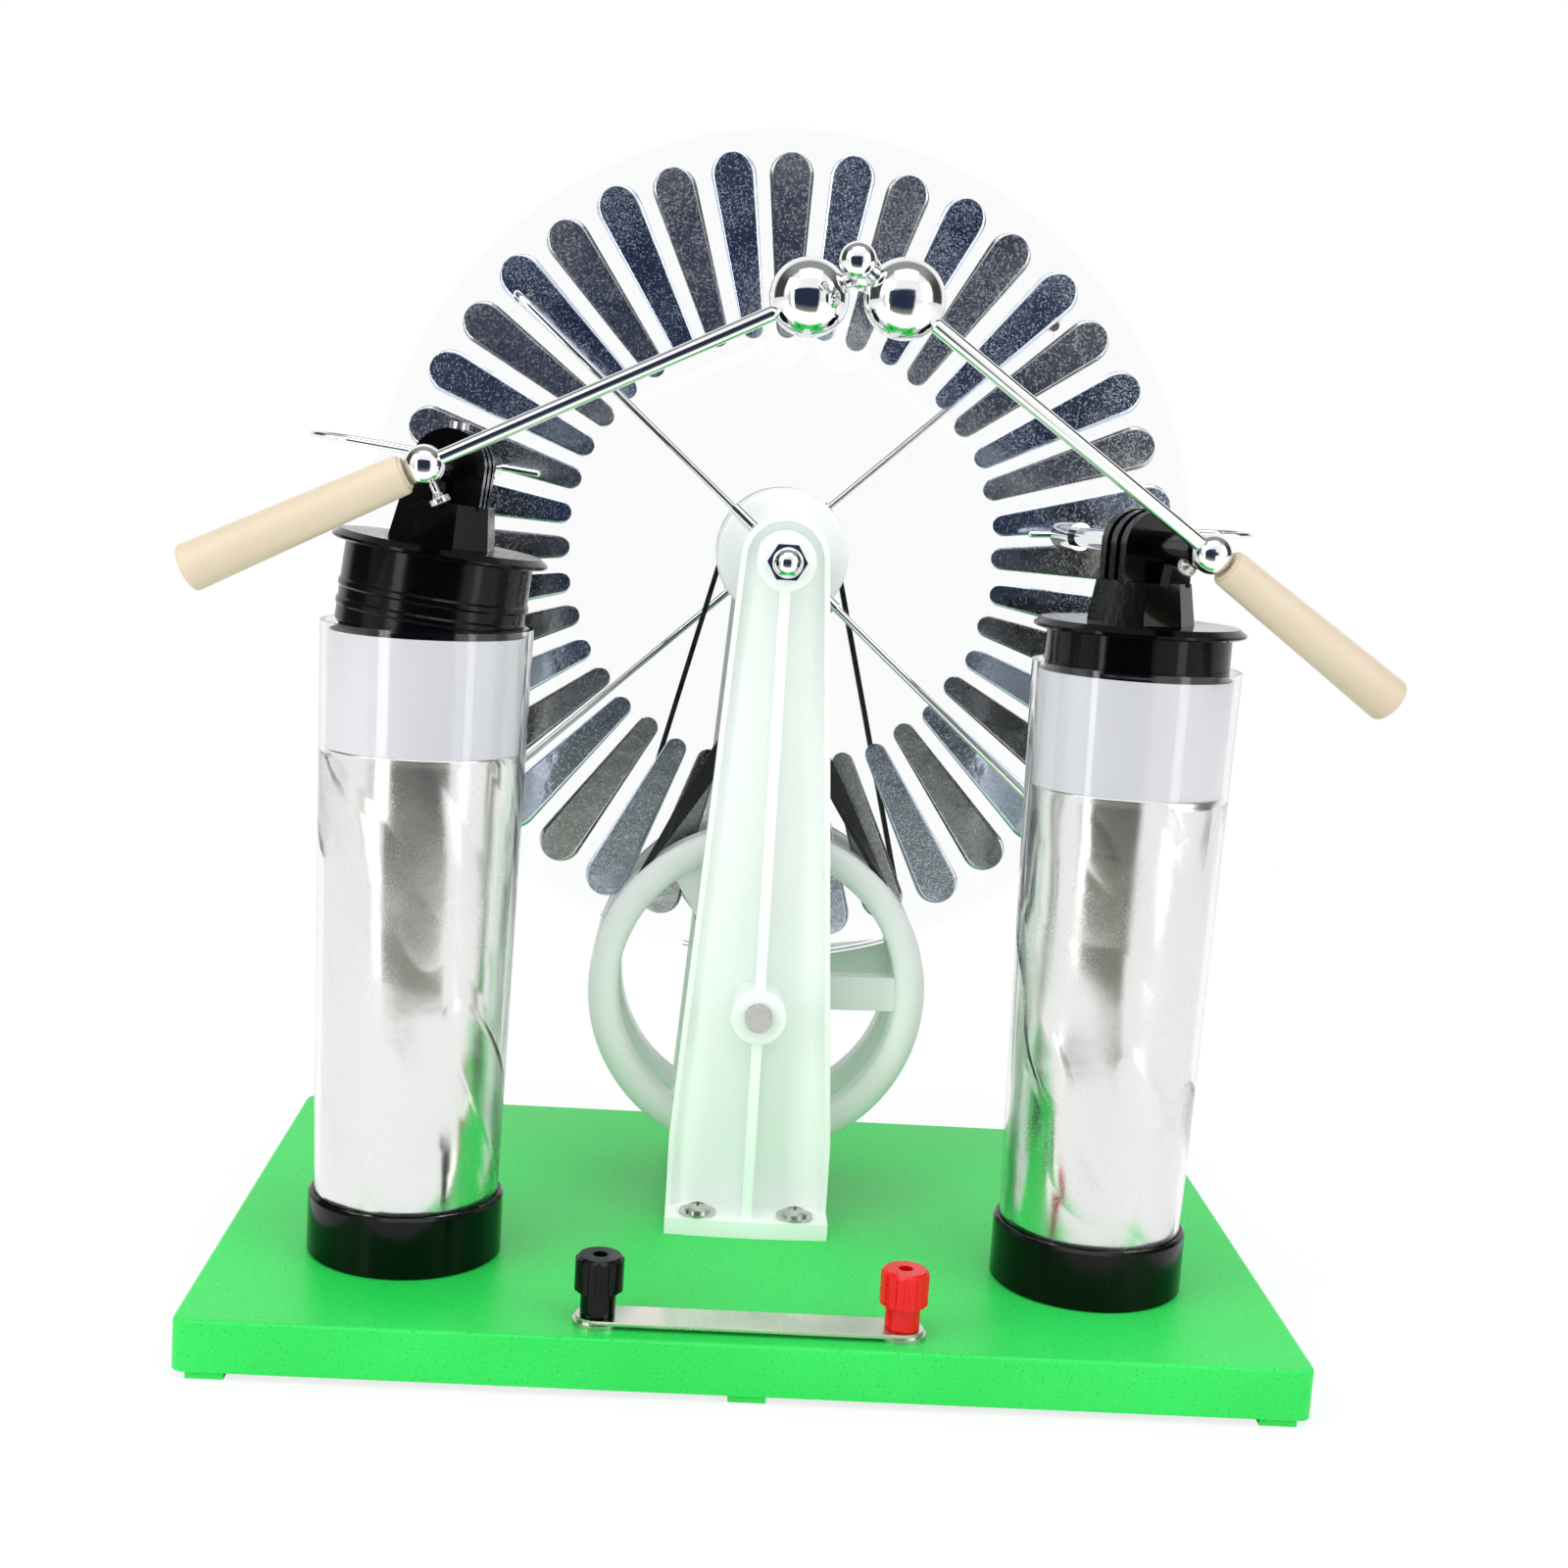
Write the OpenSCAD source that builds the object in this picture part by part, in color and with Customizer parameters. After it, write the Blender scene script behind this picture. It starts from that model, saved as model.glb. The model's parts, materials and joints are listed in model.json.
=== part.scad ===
// Hand-cranked electrostatic influence machine: two contra-rotating sectored discs, crossed and
// open belts, two charge-storing jars and a spark gap. Millimetres, +Z up, +Y towards the crank.
// The origin lies on the standing plane under the middle of the base.

/* [Base] */
// Width of the base
base_w = 300; // [290:5:360]
// Depth of the base
base_d = 200; // [194:2:260]
// Height of the base moulding above its pads
base_h = 14; // [13:0.5:24]
// Height of the standing pads
pad_h = 2; // [1:0.5:4]
// Radius of the base's upright corners
base_corner = 4; // [2:0.5:10]
// Wall and top thickness of the base
base_wall = 3; // [2:0.25:4]

/* [Uprights] */
// Distance of the disc pair's mid plane behind the middle of the base
pack_y = 29; // [27:0.5:34]
// Height of the drive shaft above the base
shaft_h = 67; // [66:0.5:76]
// Gap between the rim of the discs and the drive shaft
rim_clear = 4; // [3:0.5:12]
// Distance from the disc pair's mid plane to an upright's inner face
upright_reach = 33; // [33:0.5:38]
// Width of an upright at its foot
foot_w = 48.4; // [44:0.2:56]
// Height over which the foot end stays full width
foot_straight = 26; // [14:1:40]
// Depth of an upright's foot
foot_depth = 17.5; // [17:0.25:19]
// Thickness of an upright's foot
foot_t = 5; // [3:0.5:8]
// Radius of an upright's round head
head_r = 12.8; // [11.5:0.1:15]
// Thickness of an upright's web with its edge flanges
web_t = 6; // [5:0.25:8]
// Thickness of the edge flanges and the depth of the pocket between them
flange_t = 1.6; // [1:0.1:3]
// Depth of the pocket between the flanges
pocket_d = 3; // [1:0.25:3.5]
// Width of the central stiffening rib
rib_w = 3; // [2:0.25:5]
// Radius of the two bearing bosses
boss_r = 8.1; // [7:0.1:9]

/* [Fasteners] */
// Distance of the two foot screws from the middle
foot_screw_x = 14.5; // [12:0.5:17]
// Radius of every M4 thread
m4_r = 1.95; // [1.9:0.01:1.98]
// Radius of a pan head
pan_r = 3.8; // [3:0.1:4.5]
// Height of a pan head
pan_h = 2.2; // [1.6:0.1:3]
// Radius of the foot washers
washer_r = 5.5; // [4.5:0.1:5.8]
// Thickness of the foot washers
washer_t = 0.9; // [0.6:0.1:1.6]

/* [Discs] */
// Radius of the two clear discs
disc_r = 125; // [122:1:130]
// Thickness of each disc
disc_t = 2.5; // [2:0.25:3.5]
// Gap between the discs
disc_gap = 3; // [2:0.25:4]
// Number of foil sectors on each disc
sector_n = 20; // [12:2:24]
// Radius at which the outer round end of a sector is centred
sector_out = 112.5; // [104:0.5:114]
// Radius at which the inner round end of a sector is centred
sector_in = 68; // [56:1:80]
// Radius of a sector's outer end
sector_out_r = 6.6; // [5:0.1:8]
// Radius of a sector's inner end
sector_in_r = 3.4; // [2:0.1:4.5]
// Thickness of the foil sectors
foil_t = 0.15; // [0.1:0.01:0.3]
// Angle of one front sector
front_phase = -7.2; // [-9:0.1:9]
// Angle of one rear sector
rear_phase = 1.9; // [-9:0.1:9]
// Radius of the fixed disc axle
axle_r = 3; // [2.5:0.1:3.5]

/* [Drive] */
// Radius of the belt groove in a disc pulley
pulley_r = 15.8; // [14:0.1:17.5]
// Radius of the flanges of a disc pulley
pulley_flange_r = 19.3; // [18.5:0.1:21]
// Radius of the belt groove in a drive wheel
wheel_groove_r = 48.2; // [46:0.1:50]
// Radius of the lips of a drive wheel
wheel_r = 51.5; // [50.5:0.1:54]
// Inside radius of a drive wheel's rim
wheel_inner_r = 42.5; // [38:0.25:44]
// Width of a drive wheel
wheel_w = 13; // [12:0.5:14]
// Width of the spokes
spoke_w = 10.4; // [6:0.2:14]
// Angle of one spoke of the front wheel
front_spoke = 1.5; // [0:0.5:119]
// Angle of one spoke of the rear wheel
rear_spoke = 8; // [0:0.5:119]
// Radius of the drive shaft
shaft_r = 4; // [3:0.1:4.5]
// Thickness of both belts
belt_t = 1.5; // [1:0.1:2]
// Width of both belts
belt_w = 5.5; // [4:0.1:5.8]

/* [Crank] */
// Distance of the crank knob from the shaft
crank_reach = 52; // [45:0.5:52]
// Thickness of the crank arm
crank_t = 6; // [4:0.5:8]
// Radius of the crank knob
knob_r = 8.5; // [7:0.25:9]
// Length of the crank knob
knob_l = 40; // [30:1:60]

/* [Neutralising rods] */
// Angle of the front rod
front_rod_angle = 139; // [130:1:150]
// Angle of the rear rod
rear_rod_angle = 43; // [34:1:52]
// Radius at which the brushes touch the sectors
brush_at = 108; // [90:1:112]
// Radius of the neutralising rods
rod_r = 1.1; // [0.8:0.05:1.3]

/* [Jars] */
// Distance of the jars from the middle
jar_x = 98; // [94:0.5:104]
// Distance of the jars in front of the middle of the base
jar_front = 39.5; // [38:0.5:44]
// Outer radius of a jar at its foot
jar_foot_r = 25.6; // [24:0.1:27]
// Outer radius of a jar at its rim
jar_rim_r = 29; // [28.6:0.1:29.8]
// Wall of the clear outer jar
jar_wall = 1.4; // [1:0.05:1.6]
// Height of the jar's rim above the base
jar_rim_h = 178.2; // [168:0.2:186]
// Air gap between the clear jar and the white liner
jar_air = 0.6; // [0.55:0.05:1]
// Wall of the white liner
liner_wall = 0.7; // [0.5:0.05:0.8]
// Height of the foil's upper edge above the base
foil_top_h = 144; // [110:1:160]
// Height of the black foot cup
cup_h = 17.5; // [10:0.5:26]
// Outer radius of the black foot cup
cup_r = 27.4; // [27:0.1:29]

/* [Stoppers] */
// Clearance between the plug and the liner at the rim
plug_clear = 0.8; // [0.75:0.05:1.8]
// Length of the plug under its flange
plug_h = 24; // [20:0.5:30]
// Radius of the flange
cap_flange_r = 29.3; // [28:0.1:31]
// Thickness of the flange
cap_flange_t = 2.2; // [1.5:0.1:3]
// Height of the bar above the flange's underside
bar_rise = 23.3; // [22:0.1:30]
// Radius of the arched head round the bar
arch_r = 10; // [8:0.1:11]
// Radius of the nose in front of the arched head
nose_r = 4.5; // [3.9:0.1:5]
// Radius of the terminal bar
bar_r = 3; // [2.4:0.1:3.3]
// Distance from the stopper's axis to the swivel ball
ball_reach = 38.5; // [37:0.5:44]
// Depth to which the right stopper is pushed home
right_seat = 14.2; // [12:0.1:18]
// Depth to which the left stopper is pushed home
left_seat = 3.9; // [3:0.1:6]
// Lean of the left stopper
left_lean = 6.5; // [0:0.5:7]
// Turn of the left stopper in its jar
left_turn = -4.5; // [-8:0.5:2]
// Turn of the right stopper in its jar
right_turn = 14.5; // [4:0.5:15]

/* [Discharge arms] */
// Distance between the centres of the two large balls, measured across the machine
balls_apart = 25.5; // [22:0.5:60]
// Distance from the swivel ball to the large spark ball
arm_l = 106; // [96:0.5:122]
// Distance from the large ball to the tip ball
tip_l = 15; // [14.8:0.1:22]
// Distance from the swivel ball to the handle's free end
handle_l = 67.5; // [50:0.5:90]
// Radius of the discharge rods
arm_rod_r = 2; // [1.5:0.1:2.2]
// Radius of the swivel balls
swivel_r = 5.25; // [5:0.05:5.25]
// Radius of the large spark balls
spark_r = 10; // [8:0.1:10]
// Radius of the tip balls
tip_r = 4.6; // [3.5:0.1:4.7]
// Radius of the handle at the ball
handle_r1 = 5.2; // [4:0.1:6]
// Radius of the handle at its free end
handle_r2 = 6.4; // [5:0.1:6.6]

/* [Binding posts] */
// Distance of the posts from the middle
post_x = 40.5; // [30:0.5:50]
// Distance of the posts from the front edge
post_inset = 11.5; // [9:0.5:16]
// Radius of the fluted cap
post_r = 6.5; // [5.5:0.1:8]
// Height of the fluted part of the cap
post_top_h = 10.2; // [8:0.2:14]
// Height of the neck of the cap
post_neck_h = 6; // [5:0.2:9]
// Radius of the plug socket in the cap
socket_r = 2; // [1.5:0.05:2.5]
// Width of the shorting link
link_w = 11.6; // [9:0.2:13]
// Thickness of the shorting link
link_t = 1.2; // [0.8:0.1:2]

/* [Hidden] */
$fn = 48;

// Clearances: a running fit, a piece fixed in a hole, faces of pieces that move past each other
run_fit = 0.05;
fix_fit = 0.03;
pass_gap = 0.3;

// Levels
base_top = pad_h + base_h;
axle_h = shaft_h + shaft_r + rim_clear + disc_r;
axle_z = base_top + axle_h;
shaft_z = base_top + shaft_h;
jar_y = -jar_front;
cup_floor = 2;
jar_floor = 1.6;

// Places along Y in front of the disc pair's mid plane, each from the one before
web_back = pack_y - upright_reach;
boss_front = web_back - web_t - 10;
foot_front = web_back - foot_depth;
foot_screw_y = foot_front + washer_r + 1;
disc_front = pack_y - disc_gap / 2 - disc_t;
nut_t = 2.5;
collar_front = web_back + nut_t + pass_gap;
collar_t = 5.5;
collar_r = 9;
pulley_front = collar_front + collar_t + pass_gap;
pulley_neck = 4.7;
pulley_lip = 2;
groove_w = 6.4;
belt_y = pulley_front + pulley_neck + pulley_lip + groove_w / 2;
wheel_front = belt_y - wheel_w / 2;
hub_front = web_back + 0.4;
rod_y = collar_front + collar_t / 2;
axle_nut_h = 12;
axle_nut_af = 10;
spigot_r = 6;

// Crank places behind the rear upright
rear_boss = 2 * pack_y - boss_front;
crank_hub_t = 12;
crank_front = rear_boss + 2;
crank_arm_y = crank_front + 3;
crank_pin_r = 3;

// Stopper heights above the underside of the plug
bar_h = plug_h + bar_rise;
pivots_apart = 2 * jar_x + ball_reach * (sin(right_turn) - sin(left_turn) * cos(left_lean))
    - bar_h * sin(left_lean);
arm_angle = acos((pivots_apart - balls_apart) / (2 * arm_l));
cap_boss_h = 11.5;
cap_boss_r = 14.8;
arch_foot_h = plug_h + cap_flange_t + cap_boss_h;
arch_depth = 16;
swivel_pin_r = 1.5;
contact_r = 1.5;

// Collector forks
fork_r = 1;
fork_clear = 9.5;
fork_front_y = disc_front - fork_clear;
fork_back_y = 2 * pack_y - fork_front_y;
fork_in_x = 74;
comb_inset = 4;
comb_pitch = 6;
comb_points = 5;
comb_gap = 4;
fork_out_x = disc_r + 18;
fork_sleeve_r = 4.1;
right_fork_lean = -3;
left_fork_lean = 6.5;

// Post heights
post_y = -base_d / 2 + post_inset;
post_washer_t = 1.2;
link_z = base_top + post_washer_t;
cap_z = link_z + link_t + 0.15;
strip_t = 0.6;
strip_w = 6;
strip_z = base_top - base_wall - strip_t;
under_nut_h = 3.2;

function jar_out(z) = jar_foot_r + (jar_rim_r - jar_foot_r) * (z - base_top - cup_floor)
    / (jar_rim_h - cup_floor);
function jar_in(z) = jar_out(z) - jar_wall;
function liner_out(z) = jar_in(z) - jar_air;
function liner_in(z) = liner_out(z) - liner_wall;
function arc(r, a0, a1, n) = [for (i = [0:n]) let (a = a0 + (a1 - a0) * i / n) r * [cos(a), sin(a)]];

jar_rim_z = base_top + jar_rim_h;
plug_r = liner_in(jar_rim_z) - plug_clear;
liner_top_z = jar_rim_z - 2.2;
foil_top_z = base_top + foil_top_h;
liner_z = base_top + cup_floor + jar_floor + pan_h + foil_t + 2 * fix_fit;

// Extrudes a profile drawn in X and Z backwards from the plane y0
module plate_y(y0, t) {
    translate([0, y0 + t, 0]) rotate([90, 0, 0]) linear_extrude(t) children();
}

// Turns a profile of radius and distance about an axis along Y at height z
module turned_y(z, y0) {
    translate([0, y0, z]) rotate([-90, 0, 0]) rotate_extrude($fn = 72) children();
}

// A round bar along Y
module bar_y(x, z, y0, y1, r) {
    translate([x, y0, z]) rotate([-90, 0, 0]) cylinder(h = y1 - y0, r = r);
}

// Repeats the front of the machine behind the disc pair
module at_rear() {
    translate([0, 2 * pack_y, 0]) mirror([0, 1, 0]) children();
}

// Two round ends joined by their tangents: radius r1 at the origin, r2 at distance d along X
module tapered_2d(r1, r2, d, steps = 16) {
    a = acos((r1 - r2) / d);
    polygon(concat(arc(r1, a, 360 - a, steps), [for (p = arc(r2, -a, a, steps)) p + [d, 0]]));
}

// A hexagon given by its width across flats
module hex(af, h) {
    cylinder(h = h, r = af / sqrt(3), $fn = 6);
}

module place_jar(side) {
    translate([side * jar_x, jar_y, 0]) children();
}

// A stopper's own frame: origin under its plug, nose along -Y, bar along Y at height bar_h
module place_stopper(side) {
    seat = side < 0 ? left_seat : right_seat;
    lean = side < 0 ? left_lean : 0;
    turn = side < 0 ? left_turn : right_turn;
    place_jar(side) translate([0, 0, jar_rim_z - seat]) rotate([0, lean, 0]) rotate([0, 0, turn])
        children();
}

// A discharge arm's own frame: origin in the swivel ball, arm along +X
module place_arm(side) {
    place_stopper(side) translate([0, -ball_reach, bar_h])
        rotate([0, side < 0 ? -arm_angle : arm_angle - 180, 0]) children();
}

// BASE: a moulded tray turned upside down, with ribs, screw bosses and standing pads
module corner_post(x, y) {
    edge = 1.2;
    translate([x, y, pad_h]) rotate_extrude($fn = 32)
        polygon(concat([[0, 0], [base_corner, 0]],
            [for (p = arc(edge, 0, 90, 3)) [base_corner - edge, base_h - edge] + p], [[0, base_h]]));
}

module strip_outline(side, grow) {
    a = [side * post_x, post_y];
    b = [side * jar_x, jar_y];
    d = b - a;
    translate(a) rotate(atan2(d[1], d[0])) tapered_2d(strip_w / 2 + grow, strip_w / 2 + grow, norm(d));
}

module base_plate() {
    cx = base_w / 2 - base_corner;
    cy = base_d / 2 - base_corner;
    inner = [base_w - 2 * base_wall, base_d - 2 * base_wall];
    rib_t = 2;
    rib_y = 50;
    color("limegreen") difference() {
        union() {
            difference() {
                hull() for (x = [-cx, cx], y = [-cy, cy]) corner_post(x, y);
                translate([-inner[0] / 2, -inner[1] / 2, pad_h - 1])
                    cube([inner[0], inner[1], base_h - base_wall + 1]);
            }
            difference() {
                translate([0, 0, pad_h + 1]) union() {
                    for (y = [-rib_y, rib_y]) translate([-inner[0] / 2 - 1, y - rib_t / 2, 0])
                        cube([inner[0] + 2, rib_t, base_h - base_wall]);
                    translate([-rib_t / 2, -inner[1] / 2 - 1, 0])
                        cube([rib_t, inner[1] + 2, base_h - base_wall]);
                }
                for (s = [-1, 1]) translate([0, 0, strip_z - 0.5]) linear_extrude(base_wall)
                    strip_outline(s, 1);
            }
            for (x = [-foot_screw_x, foot_screw_x], y = [foot_screw_y, 2 * pack_y - foot_screw_y])
                translate([x, y, pad_h + 2]) cylinder(h = base_h - 3, r = 5);
            for (x = [-base_w / 2 + 9, 0, base_w / 2 - 9], y = [-1, 1])
                translate([x - 5, y * (base_d / 2 - 3.2) - 2.5, 0]) cube([10, 5, pad_h + base_wall]);
            cylinder(h = base_h, r = 8);
        }
        for (x = [-foot_screw_x, foot_screw_x], y = [foot_screw_y, 2 * pack_y - foot_screw_y])
            translate([x, y, pad_h]) cylinder(h = base_h + 1, r = m4_r + fix_fit);
        for (s = [-1, 1]) {
            translate([s * post_x, post_y, pad_h]) cylinder(h = base_h + 1, r = m4_r + fix_fit);
            translate([s * jar_x, jar_y, pad_h]) cylinder(h = base_h + 1, r = m4_r + fix_fit);
        }
    }
}

// UPRIGHTS: tapered webs with edge flanges, a middle rib and two bearing bosses
module upright_outline(inset) {
    lean = atan((foot_w / 2 - head_r) / (axle_h - foot_straight));
    r = head_r - inset;
    half = foot_w / 2 - inset;
    translate([0, axle_z]) circle(r);
    polygon([[-half, base_top], [half, base_top], [half, base_top + foot_straight],
        [r * cos(lean), axle_z + r * sin(lean)], [-r * cos(lean), axle_z + r * sin(lean)],
        [-half, base_top + foot_straight]]);
}

module upright() {
    bow_r = 240;
    web_front = web_back - web_t;
    difference() {
        union() {
            difference() {
                plate_y(web_front, web_t) upright_outline(0);
                plate_y(web_front - 1, pocket_d + 1) upright_outline(flange_t);
            }
            translate([-rib_w / 2, boss_front + 1, base_top])
                cube([rib_w, web_back - boss_front - 2, axle_h]);
            intersection() {
                translate([-foot_w / 2, foot_front, base_top]) cube([foot_w, foot_depth, foot_t]);
                translate([0, foot_front + bow_r, base_top]) cylinder(h = foot_t, r = bow_r, $fn = 400);
            }
            bar_y(0, axle_z, boss_front, web_back, boss_r + 0.4);
            bar_y(0, shaft_z, boss_front, web_back, boss_r);
        }
        bar_y(0, axle_z, boss_front - 1, web_back + 1, axle_r + fix_fit);
        bar_y(0, shaft_z, boss_front - 1, web_back + 1, shaft_r + run_fit);
        for (x = [-foot_screw_x, foot_screw_x])
            translate([x, foot_screw_y, base_top - 1]) cylinder(h = foot_t + 2, r = m4_r + 0.1);
    }
}

module front_upright() {
    color("honeydew") upright();
}

module rear_upright() {
    color("honeydew") at_rear() upright();
}

module at_foot_screws() {
    for (x = [-foot_screw_x, foot_screw_x], y = [foot_screw_y, 2 * pack_y - foot_screw_y])
        translate([x, y, base_top + foot_t]) children();
}

// A pan head with a cross recess, its seat at z = 0
module pan_head() {
    difference() {
        intersection() {
            cylinder(h = pan_h, r = pan_r);
            translate([0, 0, pan_h - 6]) sphere(r = 6);
        }
        for (a = [0, 90]) rotate(a) translate([-1.9, -0.4, pan_h - 1.1]) cube([3.8, 0.8, 2]);
    }
}

module upright_screws() {
    color("silver") at_foot_screws() {
        translate([0, 0, washer_t]) pan_head();
        translate([0, 0, -foot_t - base_h + 6]) cylinder(h = foot_t + base_h - 6 + washer_t, r = m4_r);
    }
}

module upright_washers() {
    color("silver") at_foot_screws() difference() {
        cylinder(h = washer_t, r = washer_r);
        translate([0, 0, -1]) cylinder(h = washer_t + 2, r = m4_r + 0.2);
    }
}

// FIXED AXLE: a plain rod, a domed nut outside and a thin nut inside each upright
module disc_axle() {
    tip = boss_front - axle_nut_h + 3;
    color("silver") bar_y(0, axle_z, tip, 2 * pack_y - tip, axle_r);
}

module axle_nut_pair() {
    dome_r = 4.4;
    difference() {
        union() {
            translate([0, boss_front - 5, axle_z]) rotate([-90, 0, 0]) hex(axle_nut_af, 5);
            translate([0, boss_front - axle_nut_h + dome_r, axle_z]) sphere(r = dome_r);
            bar_y(0, axle_z, boss_front - axle_nut_h + dome_r, boss_front - 4, dome_r);
        }
        bar_y(0, axle_z, boss_front - axle_nut_h + 2.8, boss_front + 1, axle_r + fix_fit);
    }
    difference() {
        translate([0, web_back, axle_z]) rotate([-90, 0, 0]) hex(axle_nut_af, nut_t);
        bar_y(0, axle_z, web_back - 1, web_back + nut_t + 1, axle_r + fix_fit);
    }
}

module axle_nuts() {
    color("silver") {
        axle_nut_pair();
        at_rear() axle_nut_pair();
    }
}

module disc_spacer() {
    half = disc_gap / 2 - 0.2;
    color("white") turned_y(axle_z, pack_y - half) translate([axle_r + fix_fit, 0])
        square([4, 2 * half]);
}

// DISCS with their foil sectors and flanged pulleys
module disc_blank() {
    plate_y(disc_front, disc_t) translate([0, axle_z]) difference() {
        circle(disc_r, $fn = 180);
        circle(spigot_r + fix_fit);
    }
}

module front_disc() {
    color("aliceblue", 0.3) disc_blank();
}

module rear_disc() {
    color("aliceblue", 0.3) at_rear() disc_blank();
}

module sector_ring(phase) {
    for (i = [0:sector_n - 1]) plate_y(disc_front - foil_t, foil_t) translate([0, axle_z])
        rotate(phase + i * 360 / sector_n) translate([sector_in, 0])
            tapered_2d(sector_in_r, sector_out_r, sector_out - sector_in, 10);
}

module front_sectors() {
    color("slategray") sector_ring(front_phase);
}

module rear_sectors() {
    color("slategray") at_rear() sector_ring(rear_phase);
}

// Flange, belt groove, flange, waist, disc flange and the spigot that centres the disc
module pulley() {
    neck = pulley_neck;
    g0 = neck + pulley_lip;
    g1 = g0 + groove_w;
    waist = g1 + pulley_lip;
    seat = disc_front - pulley_front;
    r0 = axle_r + run_fit;
    turned_y(axle_z, pulley_front) polygon([[r0, 0], [8.5, 0], [9, 0.5], [9, neck],
        [pulley_flange_r - 0.6, neck], [pulley_flange_r, neck + 0.6], [pulley_flange_r, g0 - 0.4], [pulley_r, g0], [pulley_r, g1],
        [pulley_flange_r, g1 + 0.4], [pulley_flange_r, waist - 0.6], [pulley_flange_r - 0.6, waist],
        [12, waist], [12, seat - 2.5], [20, seat - 2], [20, seat], [spigot_r, seat],
        [spigot_r, seat + disc_t], [r0, seat + disc_t]]);
}

module front_pulley() {
    color("whitesmoke") pulley();
}

module rear_pulley() {
    color("whitesmoke") at_rear() pulley();
}

// BELTS: the front one is crossed, so each run twists half a turn and they pass side by side
belt_gap = 0.3;
belt_r1 = pulley_r + belt_gap + belt_t / 2;
belt_r2 = wheel_groove_r + belt_gap + belt_t / 2;
cross_a = asin((belt_r1 + belt_r2) / (axle_h - shaft_h));

// One cross-section: centre, direction of the inner face, direction of the width
function belt_ring(c, n, w) = [for (k = [[1, 1], [-1, 1], [-1, -1], [1, -1]])
    c + n * k[0] * belt_t / 2 + w * k[1] * belt_w / 2];
function wrap(z, r, a0, a1, side, steps) = [for (i = [0:steps])
    let (a = a0 + (a1 - a0) * i / steps, rr = r / cos((a1 - a0) / steps / 2))
    belt_ring([rr * cos(a), belt_y, z + rr * sin(a)], -[cos(a), 0, sin(a)], [0, side, 0])];
function ease(s) = s * s * (3 - 2 * s);
function run(p, q, n, side, steps) = [for (i = [1:steps - 1])
    let (s = i / steps, t = 180 * ease(s), w = [0, side, 0], shift = side * 0.95 * pow(sin(180 * s), 2))
    belt_ring(p + (q - p) * s - [0, shift, 0], n * cos(t) + w * sin(t), w * cos(t) - n * sin(t))];
function on_pulley(a) = [belt_r1 * cos(a), belt_y, axle_z + belt_r1 * sin(a)];
function on_wheel(a) = [belt_r2 * cos(a), belt_y, shaft_z + belt_r2 * sin(a)];

module front_belt() {
    a = cross_a;
    rings = concat(wrap(axle_z, belt_r1, -a, 180 + a, 1, 16),
        run(on_pulley(180 + a), on_wheel(a), [cos(a), 0, sin(a)], 1, 14),
        wrap(shaft_z, belt_r2, a, -180 - a, -1, 24),
        run(on_wheel(180 - a), on_pulley(-a), [cos(a), 0, -sin(a)], -1, 14));
    n = len(rings);
    color("black") polyhedron(points = [for (r = rings) each r],
        faces = [for (i = [0:n - 1], k = [0:3], h = [0, 1]) let (j = (i + 1) % n, m = (k + 1) % 4)
            h == 0 ? [4 * i + k, 4 * i + m, 4 * j + m] : [4 * i + k, 4 * j + m, 4 * j + k]]);
}

module open_loop_2d(grow) {
    translate([0, shaft_z]) rotate(90) tapered_2d(wheel_groove_r + grow, pulley_r + grow,
        axle_h - shaft_h, 32);
}

module rear_belt() {
    color("black") at_rear() difference() {
        plate_y(belt_y - belt_w / 2, belt_w) open_loop_2d(belt_gap + belt_t);
        plate_y(belt_y - belt_w / 2 - 1, belt_w + 2) open_loop_2d(belt_gap);
    }
}

// DRIVE: shaft, two spoked wheels with round-edged rims, set screws
module drive_shaft() {
    color("silver") difference() {
        bar_y(0, shaft_z, boss_front - 3, crank_front + crank_hub_t + 1, shaft_r);
        for (y = [hub_front + 5, 2 * pack_y - hub_front - 5])
            translate([0, y, shaft_z + shaft_r - 0.5]) cylinder(h = 2, r = 1.8);
    }
}

module rim_profile() {
    face = 3;
    groove = wheel_w / 2 - 3.1;
    mid = (wheel_r + wheel_inner_r) / 2;
    half = (wheel_r - wheel_inner_r) / 2;
    polygon(concat(
        [for (i = [0:12]) [mid - half * cos(15 * i), face - face * sin(15 * i)]],
        [[wheel_groove_r, groove], [wheel_groove_r, wheel_w - groove]],
        [for (i = [0:12]) [mid + half * cos(15 * i), wheel_w - face + face * sin(15 * i)]]));
}

module drive_wheel(phase) {
    hub_r = 9;
    spoke_t = 6;
    hub_l = wheel_front + wheel_w - hub_front;
    difference() {
        union() {
            turned_y(shaft_z, wheel_front) rim_profile();
            bar_y(0, shaft_z, hub_front, hub_front + hub_l, hub_r);
            for (i = [0:2]) translate([0, wheel_front + 3.5, shaft_z])
                rotate([0, -phase - i * 120, 0]) translate([hub_r - 3, 0, -spoke_w / 2])
                    cube([wheel_inner_r - hub_r + 4, spoke_t, spoke_w]);
        }
        bar_y(0, shaft_z, hub_front - 1, hub_front + hub_l + 1, shaft_r + fix_fit);
        translate([0, hub_front + 5, shaft_z]) cylinder(h = hub_r + 1, r = 1.5 + fix_fit);
    }
}

module front_drive_wheel() {
    color("honeydew") drive_wheel(front_spoke);
}

module rear_drive_wheel() {
    color("honeydew") at_rear() drive_wheel(rear_spoke);
}

module wheel_screws() {
    color("dimgray") for (y = [hub_front + 5, 2 * pack_y - hub_front - 5])
        translate([0, y, shaft_z + shaft_r - 0.45]) cylinder(h = 5, r = 1.5);
}

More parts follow.
